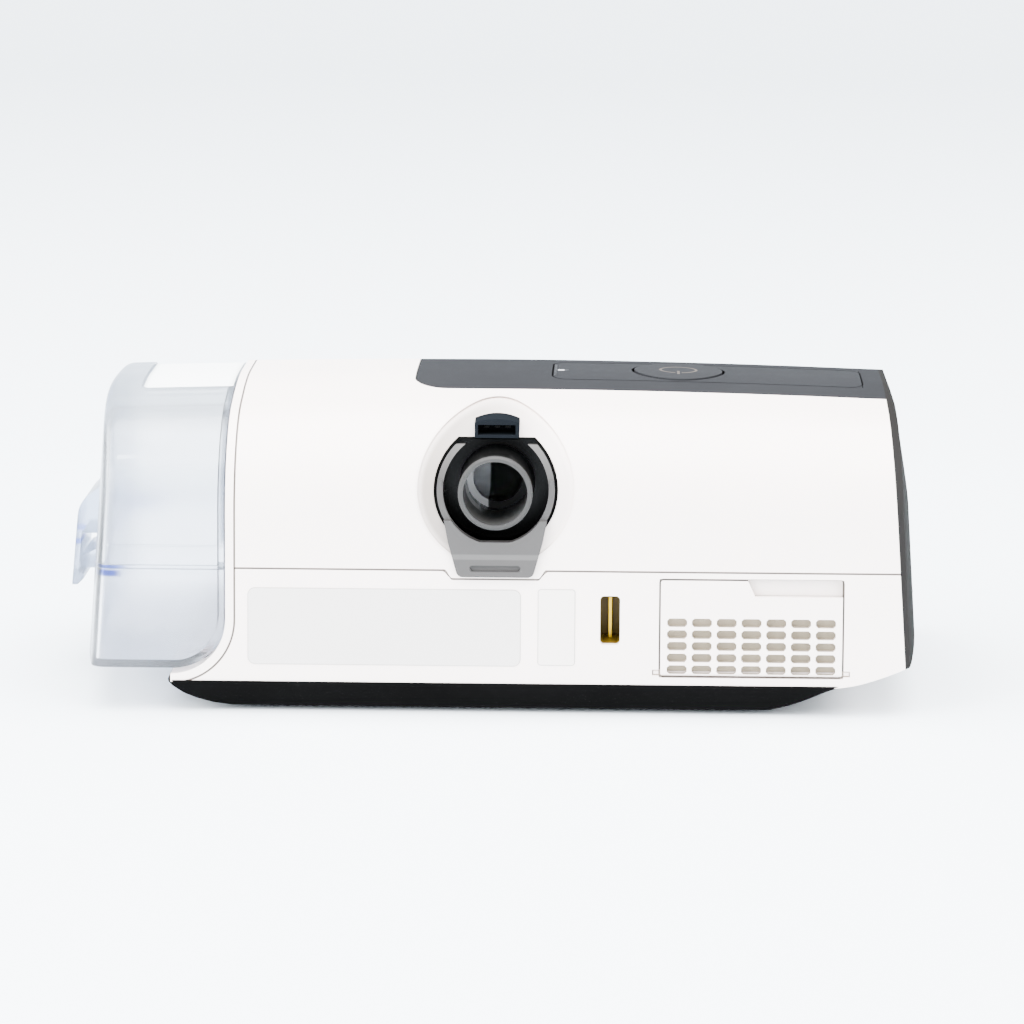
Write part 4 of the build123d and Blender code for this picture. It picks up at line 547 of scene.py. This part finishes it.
warm_grey = moulded_plastic("warm_grey_end", (0.0125, 0.0118, 0.0115), 0.1, 0.6, 0.04, 1400.0, 0.00006, 0.001)
dress(warm_grey, "end_panel", "card_door")

# %% Black base pan and rubber feet
pan_black = moulded_plastic("pan_black", (0.0025, 0.0025, 0.0025), 0.2, 0.5, 0.05, 1600.0, 0.00005, 0.003)
dress(pan_black, "base_pan")
foot_rubber = moulded_plastic("foot_rubber", (0.004, 0.004, 0.004), 0.15, 0.75, 0.05, 2200.0, 0.00004, 0.02)
dress(foot_rubber, "foot_1", "foot_2", "foot_3", "foot_4")

# %% [markdown]
# ## The outlet
#
# The air leaves through a tapered grey tube that stands in a glossy black cup, with a grey clip that
# holds it from below. The tube is one moulding, yet it shows three tones: a lit rim, a dark outside in
# the cup's shade, and a paler side deep in its bore where light falls. The last two are painted: painted
# shade on the outside and painted light in the bore. Three materials on three sets of faces could do
# that. Masks from the distance to the outlet's axis and from the depth do it within one material, and
# their edges can be as soft as the light is.

# %% Glossy black cup
cup_black = moulded_plastic("cup_black", (0.0014, 0.0014, 0.0014), 0.1, 0.3, 0.03, 2600.0, 0.000005, 0.004)
dress(cup_black, "outlet_socket")

# %% The outlet tube: painted shade outside behind its rim, painted light deep in its bore on one side
tube_grey = moulded_plastic("tube_grey", (0.029, 0.0285, 0.028), 0.06, 0.3, 0.04, 2600.0, 0.00001, 0.07)
tree = tube_grey.node_tree
x, y, z = object_place(tree)
reach = outlet_reach(tree)
# Painted shade on the tube's outside behind its rim.
behind_rim = fade_node(tree, y, -67.6 * MM, -66.4 * MM)
tube_shade_outside = math_node(tree, "MULTIPLY", math_node(tree, "GREATER_THAN", reach, 10.3 * MM), behind_rim)
paint_over(tube_grey, tube_shade_outside, (0.0016, 0.0016, 0.0016))
# Painted light on one side deep in the bore.
bore_painted_light = fade_node(tree, x, -3.2 * MM, -2.2 * MM, 1.0, 0.0)
bore_painted_light = math_node(tree, "MULTIPLY", bore_painted_light, math_node(tree, "LESS_THAN", reach, 9.75 * MM))
bore_painted_light = math_node(tree, "MULTIPLY", bore_painted_light, fade_node(tree, y, -53 * MM, -51.5 * MM))
paint_over(tube_grey, bore_painted_light, (0.3, 0.305, 0.31))
dress(tube_grey, "outlet_tube")

# %% Release clip and hose's power socket
clip_grey = moulded_plastic("clip_grey", (0.044, 0.0415, 0.0405), 0.04, 0.4, 0.04, 2600.0, 0.00001, 0.2)
# Painted shade: the finger slot is darker inside, with a darker line round it.
finger_slot_shade_rim = (0.03, 0.028, 0.027)
finger_slot_shade_outline = draw_outline(clip_grey, "XZ", (2.35, 44.15), (7.45, 0.85), 0.8, 0.1, finger_slot_shade_rim)
paint_over(clip_grey, finger_slot_shade_outline.outputs["Inside"], (0.031, 0.029, 0.028))
# A painted highlight: a soft lighter band across the tab at 47.6 mm.
clip_highlight_band = add_group(clip_grey, seam_group, **{"Height": 47.6 * MM, "Dip": 0.0, "Half Width": 0.5 * MM})
paint_over(clip_grey, clip_highlight_band.outputs["Mask"], (0.068, 0.065, 0.063))
dress(clip_grey, "release_clip")
socket_slate = moulded_plastic("socket_slate", (0.0055, 0.0066, 0.0082), 0.1, 0.4, 0.04, 2600.0, 0.00001, 0.0)
dress(socket_slate, "tube_power_socket")

# %% The duct behind the outlet, with painted light on one side
duct_dark = moulded_plastic("outlet_duct_dark", (0.02, 0.021, 0.02), 0.1, 0.35, 0.04, 2600.0, 0.00001, 0.05)
x, y, z = object_place(duct_dark.node_tree)
duct_painted_light = fade_node(duct_dark.node_tree, x, -0.7 * MM, -0.2 * MM, 1.0, 0.0)
paint_over(duct_dark, duct_painted_light, (0.62, 0.63, 0.64))
dress(duct_dark, "outlet_duct")

# %% [markdown]
# ## The inlet, the light guide and the inner pieces
#
# These are small, or show only through an opening or when a cover is open: the yellow lining of the power
# inlet, the dark light guide with one pale mark, the card in its slot, the blower and the boards. Each
# gets the same recipe in its own colour. A metal is that recipe with Metallic at 1, where the base colour
# is the tint of what it reflects, and cloth and foam are the same with high roughness and a deeper grain.

# %% Power inlet, lined in olive yellow
inlet_yellow = moulded_plastic("inlet_yellow", (0.13, 0.08, 0.006), 0.12, 0.4, 0.05, 2600.0, 0.00002, 0.2)
dress(inlet_yellow, "power_inlet")

# %% Light guide, dark but for its short mark
guide_grey = moulded_plastic("light_guide_grey", (0.3, 0.3, 0.31), 0.04, 0.35, 0.03, 2600.0, 0.00001, 0.005)
tree = guide_grey.node_tree
x, y, z = object_place(tree)
from_mark = math_node(tree, "ABSOLUTE", math_node(tree, "SUBTRACT", x, 20.6 * MM))
paint_over(guide_grey, math_node(tree, "GREATER_THAN", from_mark, 0.95 * MM), (0.012, 0.012, 0.013))
dress(guide_grey, "indicator_light")

# %% Card, boards, ducts and other inner plastics
inner_grey = moulded_plastic("inner_grey", (0.3, 0.3, 0.29), 0.06, 0.5, 0.05, 1800.0, 0.00003)
dress(inner_grey, "card_slot", "blower_base", "blower_cover")
inner_black = moulded_plastic("inner_black", (0.006, 0.006, 0.006), 0.1, 0.5, 0.05, 1800.0, 0.00003, 0.05)
dress(inner_black, "button_carrier")
duct_grey = moulded_plastic("duct_grey", (0.42, 0.43, 0.45), 0.06, 0.45, 0.05, 1800.0, 0.00003)
dress(duct_grey, "delivery_duct", "flow_sensor")
wheel_pale = moulded_plastic("wheel_pale", (0.6, 0.6, 0.62), 0.04, 0.35, 0.04, 1800.0, 0.00002)
dress(wheel_pale, "impeller")
board_green = moulded_plastic("board_green", (0.02, 0.12, 0.05), 0.15, 0.4, 0.05, 900.0, 0.00004)
dress(board_green, "main_board", "switch_board")
card_blue = moulded_plastic("card_blue", (0.02, 0.03, 0.09), 0.1, 0.45, 0.05, 2000.0, 0.00002)
dress(card_blue, "memory_card")
seal_grey = moulded_plastic("seal_grey", (0.16, 0.165, 0.175), 0.1, 0.7, 0.05, 2000.0, 0.00003)
dress(seal_grey, "button_dome", "outlet_port_seal", "supply_port_seal",
      "blower_mount_1", "blower_mount_2", "blower_mount_3")


# %% Metals, cloth, foam and screen
def bare_metal(name, color, roughness):
    """A metal with a soft drift in its gloss."""
    material = moulded_plastic(name, color, 0.05, roughness, 0.06, 1800.0, 0.00001)
    material.node_tree.nodes["Principled BSDF"].inputs["Metallic"].default_value = 1.0
    return material


contact_brass = bare_metal("contact_brass", (0.5, 0.31, 0.012), 0.35)
dress(contact_brass, "power_contact")
plated_dark = bare_metal("plated_dark", (0.006, 0.006, 0.006), 0.5)
dress(plated_dark, "socket_contacts")
plate_steel = bare_metal("plate_steel", (0.55, 0.56, 0.57), 0.4)
dress(plate_steel, "heater_plate", "tub_heat_plate", "tub_hinge_pin", "motor_shaft")
core_iron = bare_metal("core_iron", (0.3, 0.2, 0.14), 0.5)
dress(core_iron, "motor_stator")
filter_cream = moulded_plastic("filter_cream", (0.36, 0.31, 0.235), 0.2, 0.9, 0.02, 2200.0, 0.0002, 0.05)
dress(filter_cream, "filter_pad")
foam_grey = moulded_plastic("foam_grey", (0.08, 0.08, 0.085), 0.2, 0.95, 0.02, 1800.0, 0.0002)
dress(foam_grey, "intake_foam", "heater_pad")
screen_black = moulded_plastic("screen_black", (0.004, 0.004, 0.0045), 0.05, 0.1, 0.02, 400.0, 0.000001, 0.12)
dress(screen_black, "screen_window", "display_module")

# %% [markdown]
# ## The clear tub
#
# The humidifier tub is clear plastic with a light frost. Seen through it, light and shade fall in soft
# bands by height, and its walls turn blue-grey where they are seen edge on. The walls are real 2 mm walls
# with transmission, which gives the lines of their edges for free. A colour ramp over the height paints
# the bands of light and shade, and Layer Weight, which is 1 where a surface is seen edge on, gives the blue.

# %% Frosted clear plastic in bands
def clear_plastic(name, bands, edge, roughness):
    """Transmitting plastic: tints at heights in mm, a tint for its edges and a drifting frost."""
    material = bpy.data.materials.new(name)
    material.use_nodes = True
    tree = material.node_tree
    shader = tree.nodes["Principled BSDF"]
    shader.inputs["Transmission Weight"].default_value = 1.0
    shader.inputs["IOR"].default_value = 1.34
    low, high = bands[0][0], bands[-1][0]
    z = object_place(tree)[2]
    height = math_node(tree, "DIVIDE", math_node(tree, "SUBTRACT", z, low * MM), (high - low) * MM)
    ramp = tree.nodes.new("ShaderNodeValToRGB")
    ramp.color_ramp.interpolation = "EASE"
    stops = ramp.color_ramp.elements
    while len(stops) < len(bands):
        stops.new(0.5)
    for stop, (at, tint) in zip(stops, bands):
        stop.position = (at - low) / (high - low)
        stop.color = (*tint, 1)
    tree.links.new(height, ramp.inputs["Fac"])
    tree.links.new(ramp.outputs["Color"], shader.inputs["Base Color"])
    facing = tree.nodes.new("ShaderNodeLayerWeight")
    facing.inputs["Blend"].default_value = 0.5
    paint_over(material, fade_node(tree, facing.outputs["Facing"], 0.66, 0.95), edge)
    drift = add_group(material, drift_group, Scale=18.0)
    frost = tree.nodes.new("ShaderNodeMapRange")
    frost.inputs["To Min"].default_value = roughness * 0.8
    frost.inputs["To Max"].default_value = roughness * 1.2
    tree.links.new(drift.outputs["Factor"], frost.inputs["Value"])
    tree.links.new(frost.outputs["Result"], shader.inputs["Roughness"])
    return material


edge_blue = (0.34, 0.41, 0.56)
# Painted light and shade: lighter and darker bands of tint by height in mm.
tub_light_and_shade = (
    (12.0, (0.92, 0.93, 0.98)),
    (30.0, (0.94, 0.945, 0.985)),
    (39.0, (0.91, 0.92, 0.96)),
    (43.0, (0.74, 0.765, 0.81)),
    (50.0, (0.66, 0.68, 0.715)),
    (63.0, (0.7, 0.72, 0.755)),
    (72.0, (0.92, 0.935, 0.955)),
    (80.0, (0.87, 0.88, 0.9)),
    (84.5, (0.62, 0.63, 0.65)),
    (95.0, (0.72, 0.75, 0.79)),
)
tub_clear = clear_plastic("tub_clear", tub_light_and_shade, edge_blue, 0.22)

# %% Tints of the tub: inner flange, left end wall and the blue bar under the seal
wall_lean = 0.0734
tree = tub_clear.node_tree
x, y, z = object_place(tree)
flange = math_node(
    tree, "MULTIPLY", fade_node(tree, x, -79.8 * MM, -79.0 * MM), fade_node(tree, z, 48 * MM, 52 * MM)
)
paint_over(tub_clear, math_node(tree, "MULTIPLY", flange, 0.85), (0.15, 0.17, 0.215))
left_wall = math_node(tree, "ADD", x, math_node(tree, "MULTIPLY", z, -wall_lean))
left_wall = fade_node(tree, left_wall, -123.0 * MM, -120.8 * MM, 1.0, 0.0)
paint_over(tub_clear, math_node(tree, "MULTIPLY", left_wall, 0.75), (0.27, 0.34, 0.5))
under_seal = line_mask(tree, math_node(tree, "SUBTRACT", z, 41.3 * MM), 0.6 * MM)
blue_bar = math_node(tree, "MULTIPLY", fade_node(tree, x, -111 * MM, -107 * MM, 1.0, 0.0), under_seal)
paint_over(tub_clear, blue_bar, (0.05, 0.08, 0.4))
dress(tub_clear, "tub_lid", "tub_base", "tub_air_guide")

# %% The seal, blue at its left end
seal_tint = (0.86, 0.88, 0.94)
seal_clear = clear_plastic("seal_clear", ((42.0, seal_tint), (44.0, seal_tint)), edge_blue, 0.3)
x, y, z = object_place(seal_clear.node_tree)
blue_end = fade_node(seal_clear.node_tree, x, -111 * MM, -104 * MM, 1.0, 0.0)
paint_over(seal_clear, blue_end, (0.1, 0.15, 0.5))
dress(seal_clear, "tub_seal")

# %% [markdown]
# ## The rounded top of the right end
#
# Seen from behind, the dark end of the machine is fullest at half height and draws in towards the roof,
# while its near edge stands a little further out. The four shells that meet there are taken over from
# the CAD as copies, and only their last centimetre is drawn in, by one smooth rule of height and depth
# for all four, so that they still meet. Edges sharper than a set angle stay crisp.

# %% Rule for the right end, in mm
end_starts = 113.5
edge_at_roof, edge_slope = 118.8, 0.075
end_at_corner, corner_height, end_slope = 129.7, 18.5, math.tan(math.radians(3.8))
draw_in, draw_foot, roof_height, draw_power = 3.9, 58.0, 92.0, 1.2
edge_out = 1.5


def smooth_step(value, low, high):
    """0 below low, 1 above high, and a smooth rise between them."""
    part = min(max((value - low) / (high - low), 0.0), 1.0)
    return part * part * (3 - 2 * part)


def end_shift(place):
    """How far in X a point of the right end moves: out at the end's rim, in at its fullest."""
    x, y, z = (v / MM for v in place)
    rim_x = edge_at_roof + (roof_height - z) * edge_slope
    full_x = end_at_corner - (z - corner_height) * end_slope
    if x < rim_x:
        return edge_out * smooth_step(x, end_starts, rim_x) * MM
    inward = draw_in * (max(z - draw_foot, 0.0) / (roof_height - draw_foot)) ** draw_power
    along = (x - rim_x) / (full_x - rim_x)
    return (edge_out - (edge_out + inward) * along) * MM


rim_at_roof = (edge_at_roof * MM, 0.0, roof_height * MM)
print("at the roof the end's rim moves by", round(end_shift(rim_at_roof) / MM, 2), "mm")

# %% Shells with their right end drawn in
crisp_angle = math.radians(28)
weld = 0.001 * MM
longest_edge = 9 * MM


def drawn_in_shell(name):
    """A copy of a CAD shell with its right end drawn in, which stands for it."""
    bm = bmesh.new()
    bm.from_mesh(nodes[name].data)
    bmesh.ops.remove_doubles(bm, verts=list(bm.verts), dist=weld)
    end_edges = [e for e in bm.edges if max(v.co.x for v in e.verts) > end_starts * MM]
    long_edges = [e for e in end_edges if e.calc_length() > longest_edge]
    bmesh.ops.subdivide_edges(bm, edges=long_edges, cuts=3)
    bmesh.ops.triangulate(bm, faces=[f for f in bm.faces if len(f.verts) > 3])
    for vert in bm.verts:
        vert.co.x += end_shift(vert.co)
    for edge in bm.edges:
        edge.smooth = not edge.is_manifold or edge.calc_face_angle() < crisp_angle
    shell = finish_mesh(bm, name + "_drawn_in", nodes[name].data.materials[0])
    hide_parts(name)
    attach(shell, "main")
    print(shell.name, "triangles:", len(shell.data.polygons))
    return shell


for name, slot_name in (
    ("rear_housing", "white_housing"), ("lower_housing", "white_housing"),
    ("wrap_panel", "dark_panel"), ("end_panel", "dark_end"),
):
    drawn_in_shell(name)

# %% [markdown]
# ## The painted highlight on the floor of the lid's recess
#
# The roof of the tub's lid has a shallow recess whose floor shows a bright white highlight, which is
# painted here. It is a thin white sheet with two rounded corners, dropped onto the lid: a grid is cut out
# at the recess's size, and a ray from above gives the height of the lid under each of its points.

# %% Sheet dropped onto the lid
recess_left, recess_right, recess_half_y = -105.9, -78.6, 25.4
recess_corner = 1.8
sheet_lift, sheet_thick = 0.08, 0.12
above_lid = 0.2
bm = bmesh.new()
made = bmesh.ops.create_grid(bm, x_segments=14, y_segments=26, size=1.0)
bmesh.ops.scale(bm, vec=((recess_right - recess_left) / 2 * MM, recess_half_y * MM, 1), verts=made["verts"])
bmesh.ops.translate(bm, vec=((recess_left + recess_right) / 2 * MM, 0, 0), verts=made["verts"])
left_corners = [v for v in bm.verts if v.is_boundary and len(v.link_edges) == 2 and v.co.x < -0.1]
bmesh.ops.bevel(
    bm, geom=left_corners, offset=recess_corner * MM, offset_type="OFFSET", segments=6, profile=0.5,
    affect="VERTICES", material=-1,
)
lid_tree = BVHTree.FromObject(nodes["tub_lid"], bpy.context.evaluated_depsgraph_get())
for vert in bm.verts:
    hit = lid_tree.ray_cast(Vector((vert.co.x, vert.co.y, above_lid)), Vector((0, 0, -1)))[0]
    vert.co.z = hit.z + sheet_lift * MM
bmesh.ops.recalc_face_normals(bm, faces=list(bm.faces))
bmesh.ops.solidify(bm, geom=list(bm.faces), thickness=sheet_thick * MM)
bmesh.ops.recalc_face_normals(bm, faces=list(bm.faces))
# Painted highlight: a white sheet for the bright floor of the recess.
recess_highlight_white = moulded_plastic("recess_highlight_white", (0.9, 0.93, 0.93), 0.02, 0.6, 0.05, 2600.0, 0.00001)
lid_highlight_sheet = finish_mesh(bm, "lid_recess_highlight", recess_highlight_white)
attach(lid_highlight_sheet, "tub")
print("frosted floor faces:", len(lid_highlight_sheet.data.polygons))

# %% [markdown]
# ## The base pan
#
# The black pan under the housing is shaped like a shallow boat: its sides stand almost upright and its
# two ends sweep up in a curve to the housing's edge. A flat tray with slanted ends would do for weight
# and contact, but the curve is what shows at both ends. So the pan is built again here as a stack of
# rounded rectangles: one loop of edges is drawn at the top, then extruded down ring by ring, and each
# ring is squeezed to its own length and depth.

# %% Pan rings: height, left end, right end and half depth in mm
pan_rings = (
    (9.7, -94.9, 105.6, 68.0),
    (8.92, -94.8, 104.0, 67.8),
    (7.4, -93.6, 100.4, 66.9),
    (5.4, -90.8, 96.2, 66.2),
    (3.7, -87.0, 92.0, 65.6),
    (2.4, -82.6, 88.0, 64.9),
    (1.6, -78.0, 84.8, 64.0),
    (1.3, -74.0, 82.0, 62.8),
)
pan_corner = 2.6


def squeeze(bm, verts, was, now):
    """Moves a ring of vertices from one height, length and depth to the next."""
    along_x, along_y = (was[1:3], now[1:3]), ((-was[3], was[3]), (-now[3], now[3]))
    for axis, ((w0, w1), (n0, n1)) in enumerate((along_x, along_y)):
        middle = [0.0, 0.0, 0.0]
        middle[axis] = -(w0 + w1) / 2 * MM
        scale = [1.0, 1.0, 1.0]
        scale[axis] = (n1 - n0) / (w1 - w0)
        bmesh.ops.scale(bm, vec=scale, space=Matrix.Translation(middle), verts=verts)
        shift = [0.0, 0.0, 0.0]
        shift[axis] = (n0 + n1 - w0 - w1) / 2 * MM
        bmesh.ops.translate(bm, vec=shift, verts=verts)
    bmesh.ops.translate(bm, vec=(0, 0, (now[0] - was[0]) * MM), verts=verts)


def rounded_sheet(bm, centre, half, corner, segments):
    """A flat rectangle with rounded corners in a bmesh, facing up; sizes in mm."""
    made = bmesh.ops.create_grid(bm, x_segments=1, y_segments=1, size=1.0)
    bmesh.ops.scale(bm, vec=(half[0] * MM, half[1] * MM, 1), verts=made["verts"])
    bmesh.ops.bevel(
        bm, geom=made["verts"], offset=corner * MM, offset_type="OFFSET", segments=segments, profile=0.5,
        affect="VERTICES", material=-1,
    )
    bmesh.ops.translate(bm, vec=[v * MM for v in centre], verts=list(bm.verts))


bm = bmesh.new()
top = pan_rings[0]
rounded_sheet(bm, ((top[1] + top[2]) / 2, 0, top[0]), ((top[2] - top[1]) / 2, top[3]), pan_corner, 10)
ring_edges = list(bm.edges)
for was, now in zip(pan_rings, pan_rings[1:]):
    made = bmesh.ops.extrude_edge_only(bm, edges=ring_edges)["geom"]
    ring = [v for v in made if isinstance(v, bmesh.types.BMVert)]
    squeeze(bm, ring, was, now)
    ring_edges = [e for e in made if isinstance(e, bmesh.types.BMEdge) and all(v in ring for v in e.verts)]
bmesh.ops.contextual_create(bm, geom=ring_edges)
bmesh.ops.recalc_face_normals(bm, faces=list(bm.faces))
pan_shell = finish_mesh(bm, "pan_shell", pan_black)
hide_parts("base_pan")
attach(pan_shell, "main")
print("pan shell faces:", len(pan_shell.data.polygons))

# %% [markdown]
# ## Two plates on the back
#
# The back carries two thin bare plates, a long one and a small one. Each is a rounded rectangle as thin
# as a sticker, laid on the leaning back: drawn flat, given its thickness, softened along its rim and
# then turned to the back's lean.

# %% Bare plates
plate_thick, plate_softening, plate_stand_off = 0.3, 0.1, 0.12
plate_rim = (0.36, 0.335, 0.32)


def bare_plate(name, left, right, foot, top, corner, color):
    """A thin plate on the leaning back, between two X and two Z in mm."""
    bm = bmesh.new()
    half = ((right - left) / 2, (top - foot) / 2 / math.cos(back_lean))
    rounded_sheet(bm, (0, 0, 0), half, corner, 8)
    grown = bmesh.ops.extrude_face_region(bm, geom=list(bm.faces))["geom"]
    raised = [v for v in grown if isinstance(v, bmesh.types.BMVert)]
    bmesh.ops.translate(bm, vec=(0, 0, plate_thick * MM), verts=raised)
    rim = [e for e in bm.edges if all(v.co.z > plate_thick * MM / 2 for v in e.verts)]
    bmesh.ops.bevel(
        bm, geom=rim, offset=plate_softening * MM, offset_type="OFFSET", segments=2, profile=0.5,
        affect="EDGES", material=-1,
    )
    upright = Matrix.Rotation(math.radians(90) - back_lean, 3, "X")
    bmesh.ops.rotate(bm, cent=(0, 0, 0), matrix=upright, verts=list(bm.verts))
    middle_x, middle_z = (left + right) / 2, (foot + top) / 2
    middle_y = back_foot_y / MM + middle_z * math.tan(back_lean) + plate_stand_off
    bmesh.ops.translate(bm, vec=[v * MM for v in (middle_x, middle_y, middle_z)], verts=list(bm.verts))
    bmesh.ops.recalc_face_normals(bm, faces=list(bm.faces))
    film = moulded_plastic(name + "_film", color, 0.02, 0.32, 0.03, 1200.0, 0.000008)
    draw_outline(film, "XZ", (middle_x, middle_z), half, corner, 0.16, plate_rim)
    plate = finish_mesh(bm, name, film, smooth=False)
    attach(plate, "main")
    print(name, "box in mm:", [round(v * 1000, 2) for v in plate.dimensions])
    return plate


bare_plate("long_plate", -70.9, 10.1, 14.8, 37.7, 2.2, (0.58, 0.55, 0.53))
bare_plate("small_plate", 15.1, 26.2, 15.2, 38.0, 1.0, (0.74, 0.68, 0.64))
